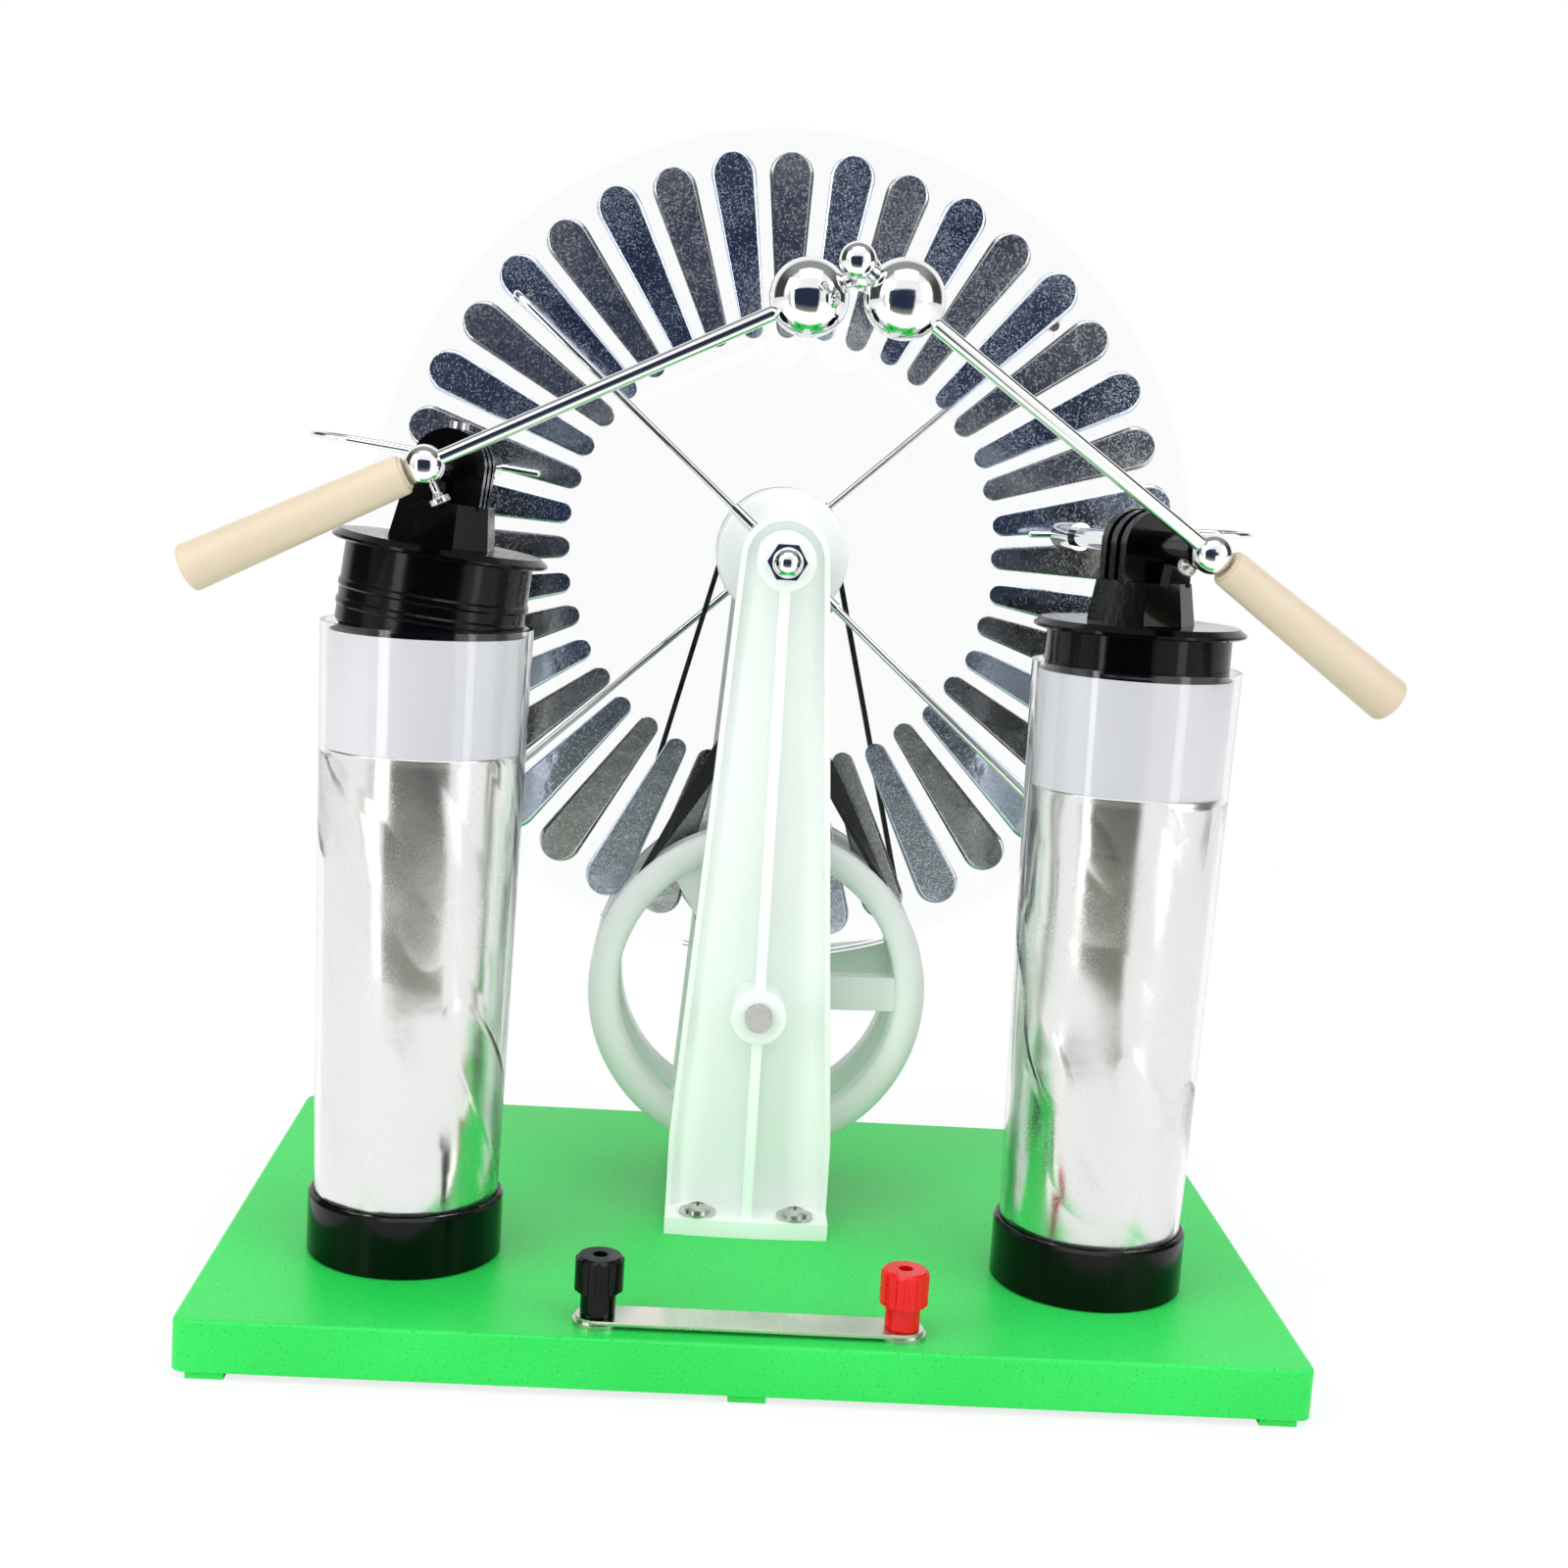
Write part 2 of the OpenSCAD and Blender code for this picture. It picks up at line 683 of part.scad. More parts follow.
// CRANK: hanging arm, shouldered pin and a knob that spins on it
module crank_arm() {
    color("silver") difference() {
        union() {
            bar_y(0, shaft_z, crank_front, crank_front + crank_hub_t, 7.2);
            plate_y(crank_arm_y, crank_t) translate([0, shaft_z]) rotate(-90)
                tapered_2d(8, 6.5, crank_reach);
        }
        bar_y(0, shaft_z, crank_front - 1, crank_front + crank_hub_t + 2, shaft_r + fix_fit);
        bar_y(0, shaft_z - crank_reach, crank_arm_y - 1, crank_arm_y + crank_t + 1,
            crank_pin_r + fix_fit);
    }
}

knob_y = crank_arm_y + crank_t + 0.4;
knob_sink = 4;

module crank_pin() {
    head_y = knob_y + knob_l - knob_sink + 0.2;
    color("silver") {
        bar_y(0, shaft_z - crank_reach, crank_arm_y, head_y + 1, crank_pin_r);
        bar_y(0, shaft_z - crank_reach, head_y, head_y + 2.4, 5);
    }
}

module crank_knob() {
    sink_r = 5.6;
    edge = 1.5;
    waist = 0.7;
    color("black") turned_y(shaft_z - crank_reach, knob_y) difference() {
        polygon(concat([[0, 0], [knob_r - edge, 0]],
            [for (p = arc(edge, -90, 0, 4)) [knob_r - edge, edge] + p],
            [for (i = [1:7]) [knob_r - waist * sin(180 * i / 8), edge + (knob_l - 2 * edge) * i / 8]],
            [for (p = arc(edge, 0, 90, 4)) [knob_r - edge, knob_l - edge] + p], [[0, knob_l]]));
        translate([-1, -1]) square([crank_pin_r + run_fit + 1, knob_l + 2]);
        translate([-1, knob_l - knob_sink]) square([sink_r + 1, knob_sink + 1]);
    }
}

// NEUTRALISING RODS: a friction collar on the axle, two bent rods and their tinsel brushes
module rod_collar() {
    difference() {
        turned_y(axle_z, collar_front) polygon([[axle_r + run_fit, 0], [collar_r - 0.8, 0],
            [collar_r, 0.8], [collar_r, collar_t - 0.8], [collar_r - 0.8, collar_t],
            [axle_r + run_fit, collar_t]]);
        children();
    }
}

// Frame of a rod: along +X from the axle, in the collar's mid plane
module place_rods(angle) {
    for (a = [angle, angle + 180]) translate([0, rod_y, axle_z]) rotate([0, -a, 0]) children();
}

bend_r = 5;
brush_back = disc_front - foil_t - pass_gap;

module rod_shape() {
    tip_y = brush_back - 5 - rod_y;
    translate([5, 0, 0]) rotate([0, 90, 0]) cylinder(h = brush_at - bend_r - 5, r = rod_r);
    translate([collar_r + 0.1, 0, 0]) rotate([0, 90, 0]) cylinder(h = 12, r = rod_r + 0.8);
    translate([brush_at - bend_r, bend_r, 0]) rotate([0, 0, -90])
        rotate_extrude(angle = 90) translate([bend_r, 0]) circle(rod_r);
    translate([brush_at, bend_r, 0]) rotate([-90, 0, 0]) cylinder(h = tip_y - bend_r, r = rod_r);
    translate([brush_at, tip_y - 4, 0]) rotate([-90, 0, 0]) cylinder(h = 5, r = rod_r + 0.6);
}

module brush_shape() {
    tip_y = brush_back - 5 - rod_y;
    translate([brush_at, tip_y + 1, 0]) rotate([-90, 0, 0]) cylinder(h = 4, r1 = rod_r, r2 = 2.4);
}

module rod_holes(angle) {
    place_rods(angle) translate([4, 0, 0]) rotate([0, 90, 0]) cylinder(h = collar_r, r = rod_r + fix_fit);
}

module front_rod_collar() {
    color("whitesmoke") rod_collar() rod_holes(front_rod_angle);
}

module front_rods() {
    color("silver") place_rods(front_rod_angle) rod_shape();
}

module front_brushes() {
    color("goldenrod") place_rods(front_rod_angle) brush_shape();
}

module rear_rod_collar() {
    color("whitesmoke") at_rear() rod_collar() rod_holes(rear_rod_angle);
}

module rear_rods() {
    color("silver") at_rear() place_rods(rear_rod_angle) rod_shape();
}

module rear_brushes() {
    color("goldenrod") at_rear() place_rods(rear_rod_angle) brush_shape();
}

// JARS: black foot cup, clear outer jar, white liner with foil outside and inside
module jar_foot(side) {
    z0 = base_top + cup_floor;
    z1 = base_top + cup_h;
    color("black") place_jar(side) rotate_extrude($fn = 96)
        polygon([[m4_r + 0.1, base_top], [cup_r - 0.6, base_top], [cup_r, base_top + 0.6],
            [cup_r, z1 - 0.8], [cup_r - 0.8, z1], [jar_out(z1) + fix_fit, z1],
            [jar_out(z0) + fix_fit, z0], [m4_r + 0.1, z0]]);
}

module jar_tube(side) {
    z0 = base_top + cup_floor;
    zf = z0 + jar_floor;
    color("azure", 0.3) place_jar(side) rotate_extrude($fn = 96)
        polygon([[m4_r + 0.1, z0], [jar_out(z0), z0], [jar_out(jar_rim_z), jar_rim_z],
            [jar_in(jar_rim_z), jar_rim_z], [jar_in(zf), zf], [m4_r + 0.1, zf]]);
}

module jar_liner(side) {
    z0 = liner_z;
    zf = z0 + 1;
    color("lavender") place_jar(side) rotate_extrude($fn = 96)
        polygon([[0, z0], [liner_out(z0), z0], [liner_out(liner_top_z), liner_top_z],
            [liner_in(liner_top_z), liner_top_z], [liner_in(zf), zf], [0, zf]]);
}

module outer_foil(side) {
    z1 = liner_z - 2 * fix_fit;
    z0 = z1 - foil_t;
    in = 2 * fix_fit;
    out = 2 * fix_fit + foil_t;
    color("silver") place_jar(side) rotate_extrude($fn = 96)
        polygon([[0, z0], [liner_out(z0) + out, z0], [liner_out(foil_top_z) + out, foil_top_z],
            [liner_out(foil_top_z) + in, foil_top_z], [liner_out(z1) + in, z1], [0, z1]]);
}

module inner_foils() {
    z0 = liner_z + 1 + 2 * fix_fit;
    z1 = z0 + foil_t;
    out = 2 * fix_fit;
    in = out + foil_t;
    color("silver") for (side = [-1, 1]) place_jar(side) rotate_extrude($fn = 96)
        polygon([[0, z0], [liner_in(z0) - out, z0], [liner_in(foil_top_z) - out, foil_top_z],
            [liner_in(foil_top_z) - in, foil_top_z], [liner_in(z1) - in, z1], [0, z1]]);
}

module under_nut() {
    translate([0, 0, strip_z - under_nut_h]) difference() {
        hex(7, under_nut_h);
        translate([0, 0, -1]) cylinder(h = under_nut_h + 2, r = m4_r + fix_fit);
    }
}

module jar_screws() {
    z1 = base_top + cup_floor + jar_floor;
    z0 = strip_z - under_nut_h - 1;
    color("silver") for (side = [-1, 1]) place_jar(side) {
        translate([0, 0, z0]) cylinder(h = z1 - z0 + 1, r = m4_r);
        translate([0, 0, z1]) cylinder(h = pan_h, r = pan_r);
        under_nut();
    }
}

module left_jar_foot() {
    jar_foot(-1);
}

module right_jar_foot() {
    jar_foot(1);
}

module left_jar_tube() {
    jar_tube(-1);
}

module right_jar_tube() {
    jar_tube(1);
}

module left_jar_liner() {
    jar_liner(-1);
}

module right_jar_liner() {
    jar_liner(1);
}

module left_outer_foil() {
    outer_foil(-1);
}

module right_outer_foil() {
    outer_foil(1);
}

// STOPPERS: ribbed plug, flange, eight-sided boss, arched head and nose round the terminal bar
module stopper_plug() {
    bead = 0.42;
    rib1 = plug_h - 17;
    rib2 = plug_h - 12;
    rotate_extrude($fn = 96) polygon([[contact_r + fix_fit, 0], [plug_r - 1.5, 0], [plug_r, 2],
        [plug_r, rib1 - 1.2], [plug_r + bead, rib1 - 0.6], [plug_r + bead, rib1 + 0.6],
        [plug_r, rib1 + 1.2], [plug_r, rib2 - 1.2], [plug_r + bead, rib2 - 0.6],
        [plug_r + bead, rib2 + 0.6], [plug_r, rib2 + 1.2], [plug_r, plug_h],
        [cap_flange_r - 1, plug_h - 0.5], [cap_flange_r, plug_h], [cap_flange_r, plug_h + 0.7],
        [cap_flange_r - 2, plug_h + cap_flange_t], [contact_r + fix_fit, plug_h + cap_flange_t]]);
}

module arch_2d(r) {
    translate([0, bar_h]) circle(r);
    translate([-r, arch_foot_h - 1]) square([2 * r, bar_h - arch_foot_h + 1]);
}

// Gusset between the boss and the nose
module nose_rib() {
    rib_t = 2.6;
    front = -arch_depth / 2 - 6.5;
    rotate([0, 0, 90]) rotate([90, 0, 0]) translate([0, 0, -rib_t / 2]) linear_extrude(rib_t)
        polygon([[-arch_depth / 2 + 1, arch_foot_h - 2], [front + 2.5, arch_foot_h - 2],
            [front, bar_h - nose_r + 1], [-arch_depth / 2 + 1, bar_h - nose_r + 1]]);
}

// Small upright ribs at the corners of the boss
module boss_ribs() {
    z0 = plug_h + cap_flange_t - 0.5;
    for (a = [22.5:45:337.5]) rotate(a) translate([cap_boss_r - 1.9, 0, z0])
        rotate([0, -atan(1.8 / cap_boss_h), 0]) cylinder(h = cap_boss_h, r1 = 1.5, r2 = 1.2, $fn = 24);
}

module stopper(side) {
    groove = 1.3;
    color("black") place_stopper(side) difference() {
        union() {
            stopper_plug();
            translate([0, 0, plug_h + cap_flange_t]) rotate(22.5)
                cylinder(h = cap_boss_h, r1 = cap_boss_r, r2 = cap_boss_r - 1.8, $fn = 8);
            plate_y(-arch_depth / 2, arch_depth) arch_2d(arch_r - groove);
            for (i = [0:2]) plate_y(-arch_depth / 2 + i * (arch_depth - 3.5) / 2, 3.5) arch_2d(arch_r);
            bar_y(0, bar_h, -ball_reach + swivel_r + 0.25, 0, nose_r);
            nose_rib();
            boss_ribs();
        }
        bar_y(0, bar_h, -ball_reach, arch_depth, bar_r + fix_fit);
        cylinder(h = bar_h, r = contact_r + fix_fit);
        translate([0, 0, bar_h]) cylinder(h = arch_r + 1, r = 1.5 + fix_fit);
    }
}

module left_stopper() {
    stopper(-1);
}

module right_stopper() {
    stopper(1);
}

function bar_back(side) = (fork_front_y - jar_y) / cos(side < 0 ? left_turn : right_turn) - 5;

module terminal_bar(side) {
    nose_end = -ball_reach + swivel_r + 0.25;
    color("silver") place_stopper(side) difference() {
        union() {
            bar_y(0, bar_h, nose_end, bar_back(side), bar_r);
            bar_y(0, bar_h, -ball_reach + arm_rod_r + 0.5, nose_end + 1, swivel_pin_r);
        }
        translate([0, 0, bar_h - bar_r - 1]) cylinder(h = bar_r, r = contact_r + fix_fit);
    }
}

module left_terminal_bar() {
    terminal_bar(-1);
}

module right_terminal_bar() {
    terminal_bar(1);
}

module stopper_screws() {
    color("silver") for (side = [-1, 1]) place_stopper(side) translate([0, 0, bar_h + bar_r + fix_fit]) {
        cylinder(h = arch_r - bar_r, r = 1.5);
        translate([0, 0, arch_r - bar_r]) cylinder(h = 1.8, r = 2.6);
    }
}

// A rod under the terminal bar with a spring wire that reaches the inner foil
module inner_contacts() {
    drop = 60;
    wire_up = 3;
    color("silver") for (side = [-1, 1]) place_stopper(side) {
        seat = side < 0 ? left_seat : right_seat;
        lean = side < 0 ? left_lean : 0;
        reach = liner_in(jar_rim_z - seat - drop) - foil_t - 0.6;
        middle = (drop - wire_up) * tan(lean);
        translate([0, 0, -drop]) cylinder(h = drop + bar_h - bar_r, r = contact_r);
        translate([middle - reach, 0, wire_up - drop]) rotate([0, 90, 0])
            cylinder(h = 2 * reach, r = 0.6);
    }
}

// COLLECTORS: a sleeve on the bar's rear end carries a fork whose arms pass both discs
module collector(side) {
    turn = side < 0 ? left_turn : right_turn;
    lean = side < 0 ? left_fork_lean : -right_fork_lean;
    back = bar_back(side);
    place_collar = [side * jar_x, jar_y, 0];
    bend = (fork_back_y - fork_front_y) / 2;
    stopper_z = jar_rim_z - (side < 0 ? left_seat : right_seat);
    stopper_lean = side < 0 ? left_lean : 0;
    bar_x = side * jar_x + bar_h * sin(stopper_lean) - (back + 5) * sin(turn);
    bar_z = stopper_z + bar_h * cos(stopper_lean);
    color("silver") {
        place_stopper(side) difference() {
            bar_y(0, bar_h, back - 7, back + 6, fork_sleeve_r);
            bar_y(0, bar_h, back - 8, back + 0.1, bar_r + fix_fit);
        }
        translate([bar_x, 0, bar_z]) mirror([side < 0 ? 1 : 0, 0, 0])
            rotate([0, -abs(lean), 0]) translate([-abs(bar_x), 0, 0]) {
                for (y = [fork_front_y, fork_back_y]) translate([fork_in_x, y, 0])
                    rotate([0, 90, 0]) cylinder(h = fork_out_x - bend - fork_in_x, r = fork_r);
                translate([fork_out_x - bend, pack_y, 0]) rotate([0, 0, -90])
                    rotate_extrude(angle = 180) translate([bend, 0]) circle(fork_r);
                comb(fork_front_y, 1);
                comb(fork_back_y, -1);
            }
    }
}

// A row of points along the inner end of a fork arm, each towards the sectors, and the arm's round end
module comb(y, towards) {
    translate([fork_in_x, y, 0]) sphere(r = fork_r);
    for (i = [0:comb_points - 1]) translate([fork_in_x + comb_inset + i * comb_pitch, y, 0])
        rotate([-90 * towards, 0, 0]) cylinder(h = fork_clear - comb_gap, r1 = 0.5, r2 = 0.25);
}

module left_collector() {
    collector(-1);
}

module right_collector() {
    collector(1);
}

// DISCHARGE ARMS
module pivot_ball(side) {
    color("silver") difference() {
        place_arm(side) difference() {
            sphere(r = swivel_r);
            translate([-10, 0, 0]) rotate([0, 90, 0]) cylinder(h = 20, r = arm_rod_r + fix_fit);
        }
        place_stopper(side) bar_y(0, bar_h, -ball_reach + arm_rod_r + 0.4, -ball_reach + 10,
            swivel_pin_r + run_fit);
    }
}

rod_in_handle = 30;

module discharge_rod(side) {
    color("silver") place_arm(side) translate([-rod_in_handle, 0, 0]) rotate([0, 90, 0])
        cylinder(h = rod_in_handle + arm_l + tip_l, r = arm_rod_r);
}

module spark_balls(side) {
    color("silver") place_arm(side) difference() {
        union() {
            translate([arm_l, 0, 0]) sphere(r = spark_r, $fn = 72);
            translate([arm_l + tip_l, 0, 0]) sphere(r = tip_r);
        }
        translate([arm_l - spark_r - 1, 0, 0]) rotate([0, 90, 0])
            cylinder(h = spark_r + tip_l + 1.2, r = arm_rod_r + fix_fit);
    }
}

module handle(side) {
    start = swivel_r - 0.3;
    edge = 1;
    color("ivory") place_arm(side) rotate([0, -90, 0]) difference() {
        rotate_extrude() polygon(concat([[0, start], [handle_r1 - 1.2, start]],
            [for (p = arc(edge, -90, 0, 4)) [handle_r1 - edge, start + 1.6] + p],
            [for (p = arc(edge, 0, 90, 4)) [handle_r2 - edge, handle_l - edge] + p], [[0, handle_l]]));
        cylinder(h = rod_in_handle + 0.5, r = arm_rod_r + fix_fit);
        sphere(r = swivel_r + fix_fit);
    }
}

module left_pivot_ball() {
    pivot_ball(-1);
}

module left_discharge_rod() {
    discharge_rod(-1);
}

module left_spark_balls() {
    spark_balls(-1);
}

module left_handle() {
    handle(-1);
}

module right_pivot_ball() {
    pivot_ball(1);
}

module right_discharge_rod() {
    discharge_rod(1);
}

module right_spark_balls() {
    spark_balls(1);
}

module right_handle() {
    handle(1);
}

// BINDING POSTS, shorting link and the strips under the base that lead to the jars
stud_top = cap_z + post_neck_h - 0.4;

module post_studs() {
    z0 = strip_z - under_nut_h - 1;
    color("silver") for (s = [-1, 1]) translate([s * post_x, post_y, 0]) {
        translate([0, 0, z0]) cylinder(h = stud_top - z0, r = m4_r);
        translate([0, 0, base_top]) difference() {
            cylinder(h = post_washer_t, r = post_r + 0.1);
            translate([0, 0, -1]) cylinder(h = post_washer_t + 2, r = m4_r + fix_fit);
        }
        under_nut();
    }
}

module post_cap(side) {
    flutes = 12;
    top = post_neck_h + post_top_h;
    translate([side * post_x, post_y, cap_z]) difference() {
        rotate_extrude() polygon([[0, 0], [4.7, 0], [4.7, post_neck_h], [post_r, post_neck_h + 0.8],
            [post_r, top - 1], [post_r - 1, top], [0, top]]);
        translate([0, 0, -1]) cylinder(h = post_neck_h + 1, r = m4_r + run_fit);
        translate([0, 0, post_neck_h + 1.2]) cylinder(h = post_top_h, r = socket_r);
        for (i = [0:flutes - 1]) rotate(i * 360 / flutes) translate([post_r + 0.5, 0, post_neck_h - 1])
            cylinder(h = post_top_h + 2, r = 1, $fn = 16);
    }
}

module black_post_cap() {
    color("black") post_cap(-1);
}

module red_post_cap() {
    color("red") post_cap(1);
}

module link_bar() {
    slot = m4_r + 0.15;
    color("silver") translate([-post_x, post_y, link_z]) difference() {
        union() {
            translate([0, -link_w / 2, 0]) cube([2 * post_x, link_w, link_t]);
            cylinder(h = link_t, r = link_w / 2);
            translate([2 * post_x, 0, 0]) cylinder(h = link_t, r = link_w / 2);
        }
        translate([0, 0, -1]) cylinder(h = link_t + 2, r = m4_r + 0.08);
        translate([2 * post_x, 0, -1]) cylinder(h = link_t + 2, r = slot);
        translate([2 * post_x - slot, 0, -1]) cube([2 * slot, link_w, link_t + 2]);
    }
}

module lead_strips() {
    color("goldenrod") for (s = [-1, 1]) translate([0, 0, strip_z]) difference() {
        linear_extrude(strip_t) strip_outline(s, 0);
        for (p = [[s * post_x, post_y, -1], [s * jar_x, jar_y, -1]])
            translate(p) cylinder(h = strip_t + 2, r = m4_r + 0.1);
    }
}

base_plate();
front_upright();
rear_upright();
upright_screws();
upright_washers();
disc_axle();
axle_nuts();
disc_spacer();
left_jar_foot();
right_jar_foot();
left_jar_tube();
right_jar_tube();
left_jar_liner();
right_jar_liner();
left_outer_foil();
right_outer_foil();
inner_foils();
jar_screws();
left_stopper();
right_stopper();
left_terminal_bar();
right_terminal_bar();
stopper_screws();
inner_contacts();
left_collector();
right_collector();
left_pivot_ball();
left_discharge_rod();
left_spark_balls();
left_handle();
right_pivot_ball();
right_discharge_rod();
right_spark_balls();
right_handle();
front_disc();
front_sectors();
front_pulley();
rear_disc();
rear_sectors();
rear_pulley();
front_belt();
rear_belt();
drive_shaft();
front_drive_wheel();
rear_drive_wheel();
wheel_screws();
crank_arm();
crank_pin();
crank_knob();
front_rod_collar();
front_rods();
front_brushes();
rear_rod_collar();
rear_rods();
rear_brushes();
post_studs();
black_post_cap();
red_post_cap();
link_bar();
lead_strips();
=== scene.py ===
import json

import bmesh
import bpy
import numpy as np
from mathutils import Matrix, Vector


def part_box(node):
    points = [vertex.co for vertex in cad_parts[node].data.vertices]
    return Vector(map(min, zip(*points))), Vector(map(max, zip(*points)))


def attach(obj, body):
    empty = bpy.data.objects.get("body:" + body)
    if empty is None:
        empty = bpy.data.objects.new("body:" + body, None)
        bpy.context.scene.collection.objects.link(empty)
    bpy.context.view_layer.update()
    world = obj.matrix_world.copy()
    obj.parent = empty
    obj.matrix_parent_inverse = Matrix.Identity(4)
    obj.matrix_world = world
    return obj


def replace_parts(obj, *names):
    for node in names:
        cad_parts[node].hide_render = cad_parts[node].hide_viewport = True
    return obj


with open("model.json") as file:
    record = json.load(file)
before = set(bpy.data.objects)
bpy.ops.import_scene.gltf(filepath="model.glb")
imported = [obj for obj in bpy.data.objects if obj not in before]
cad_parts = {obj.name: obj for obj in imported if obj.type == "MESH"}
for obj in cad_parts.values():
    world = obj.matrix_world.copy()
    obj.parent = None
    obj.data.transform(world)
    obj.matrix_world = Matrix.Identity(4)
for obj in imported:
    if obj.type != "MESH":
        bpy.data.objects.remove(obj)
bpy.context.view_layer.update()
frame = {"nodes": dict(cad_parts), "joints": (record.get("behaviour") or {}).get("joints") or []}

# STUDIO. A 50 mm lens stands 0.64 m in front of the machine's middle, a little to the left and above
# the jars, and looks slightly down with a few degrees of roll. Round the machine is a white tent, whose
# opening and darker sides are seen in its chrome and foil alone.
photo_width = 1600
focal_pixels = 2237.1
sensor_width = 36.0
camera_place = (-0.0241, -0.6426, 0.2466)
pitch, yaw, roll = np.radians([8.6, 2.5, 3.6])

scene = bpy.context.scene
scene.view_settings.view_transform = "Standard"
camera_data = bpy.data.cameras.new("camera")
camera_data.sensor_fit = "HORIZONTAL"
camera_data.sensor_width = sensor_width
camera_data.lens = sensor_width * focal_pixels / photo_width
camera_data.clip_start = 0.01
camera = bpy.data.objects.new("camera", camera_data)
scene.collection.objects.link(camera)
scene.camera = camera
forward = np.array([np.sin(yaw) * np.cos(pitch), np.cos(yaw) * np.cos(pitch), -np.sin(pitch)])
level_right = np.array([np.cos(yaw), -np.sin(yaw), 0.0])
level_up = np.cross(level_right, forward)
stand = np.eye(4)
stand[:3, 0] = np.cos(roll) * level_right + np.sin(roll) * level_up
stand[:3, 1] = -np.sin(roll) * level_right + np.cos(roll) * level_up
stand[:3, 2] = -forward
stand[:3, 3] = camera_place
camera.matrix_world = Matrix(stand.tolist())


def join(tree, source, target):
    """Links one socket to another in a node tree."""
    tree.links.new(source, target)


def math_node(tree, kind, first, second=None, clamp=False):
    """One arithmetic step of a node tree: first and second are sockets or numbers."""
    step = tree.nodes.new("ShaderNodeMath")
    step.operation = kind
    step.use_clamp = clamp
    for place, value in enumerate((first, second)):
        if value is None:
            continue
        if isinstance(value, (int, float)):
            step.inputs[place].default_value = value
        else:
            join(tree, value, step.inputs[place])
    return step.outputs[0]


def fade(tree, value, low, high, start=0.0, end=1.0):
    """A value carried smoothly from start to end while the input goes from low to high."""
    step = tree.nodes.new("ShaderNodeMapRange")
    step.interpolation_type = "SMOOTHSTEP"
    join(tree, value, step.inputs["Value"])
    for name, number in (("From Min", low), ("From Max", high), ("To Min", start), ("To Max", end)):
        step.inputs[name].default_value = number
    return step.outputs["Result"]


def band(tree, value, rise, fall):
    """One where the value lies between two pairs of limits, over which it fades in and out again."""
    return math_node(tree, "MULTIPLY", fade(tree, value, *rise), fade(tree, value, *fall, 1.0, 0.0))


def blend_colours(tree, share, first, second):
    """Mixes two colours by a share; each is a socket or an RGBA value."""
    mix = tree.nodes.new("ShaderNodeMix")
    mix.data_type = "RGBA"
    for socket, value in ((mix.inputs[0], share), (mix.inputs[6], first), (mix.inputs[7], second)):
        if isinstance(value, (int, float, tuple)):
            socket.default_value = value
        else:
            join(tree, value, socket)
    return mix.outputs[2]


def mix_shaders(tree, share, first, second):
    """Mixes two shaders by a share; all three are sockets."""
    mix = tree.nodes.new("ShaderNodeMixShader")
    for socket, source in zip(mix.inputs, (share, first, second)):
        join(tree, source, socket)
    return mix.outputs[0]


def seen_in_mirrors(tree, path):
    """One for a ray that a surface has mirrored, nought for one that only went through clear plastic."""
    return math_node(tree, "MULTIPLY", path.outputs["Is Glossy Ray"],
                     math_node(tree, "GREATER_THAN", path.outputs["Glossy Depth"], 0.5))


# The tent lights the machine with an even white that darkens to the horizon. Mirrors see the dark
# opening in front, grey sides and a grey roof level with the machine, and white elsewhere. A pair of
# numbers is where an edge starts and ends, along one axis of the direction that is looked in.
tent_white = (1.02, 1.02, 1.03, 1)
side_grey = (0.055, 0.058, 0.05, 1)
opening_blue = (0.02, 0.025, 0.045, 1)
horizon_light = (0.72, 0.72, 0.72, 1)
zenith_light = (1.16, 1.16, 1.16, 1)
opening_side, opening_front = (0.30, 0.42), (-0.5, -0.3)
opening_foot, opening_head = (-0.12, -0.04), (0.20, 0.28)
grey_front, grey_back = (-0.24, -0.10), (0.44, 0.64)
roof_start, roof_share = (0.45, 0.9), 0.72
world = bpy.data.worlds.new("studio")
scene.world = world
world.use_nodes = True
sky = world.node_tree
sky.nodes.clear()
sky_out = sky.nodes.new("ShaderNodeOutputWorld")
sky_path = sky.nodes.new("ShaderNodeLightPath")
sky_way = sky.nodes.new("ShaderNodeTexCoord")
sky_axes = sky.nodes.new("ShaderNodeSeparateXYZ")
join(sky, sky_way.outputs["Generated"], sky_axes.inputs[0])
sideways = math_node(sky, "ABSOLUTE", sky_axes.outputs["X"])
opening = math_node(sky, "MULTIPLY", fade(sky, sideways, *opening_side, 1.0, 0.0),
                    fade(sky, sky_axes.outputs["Y"], *opening_front, 1.0, 0.0))
opening = math_node(sky, "MULTIPLY", opening, band(sky, sky_axes.outputs["Z"], opening_foot, opening_head))
ring = math_node(sky, "MULTIPLY", band(sky, sky_axes.outputs["Y"], grey_front, grey_back),
                 fade(sky, sky_axes.outputs["Z"], *roof_start, 1.0, roof_share))
room = blend_colours(sky, ring, tent_white, side_grey)
lighting = sky.nodes.new("ShaderNodeBackground")
join(sky, blend_colours(sky, fade(sky, sky_axes.outputs["Z"], 0.0, 1.0), horizon_light, zenith_light),
     lighting.inputs["Color"])
mirroring = sky.nodes.new("ShaderNodeBackground")
join(sky, blend_colours(sky, opening, room, opening_blue), mirroring.inputs["Color"])
backdrop = sky.nodes.new("ShaderNodeBackground")
backdrop.inputs["Color"].default_value = (1, 1, 1, 1)
sky_mirror = seen_in_mirrors(sky, sky_path)
sky_lit = mix_shaders(sky, sky_mirror, lighting.outputs[0], mirroring.outputs[0])
through_clear = math_node(sky, "SUBTRACT", sky_path.outputs["Is Transmission Ray"], sky_mirror, clamp=True)
sky_seen = math_node(sky, "MAXIMUM", sky_path.outputs["Is Camera Ray"], through_clear)
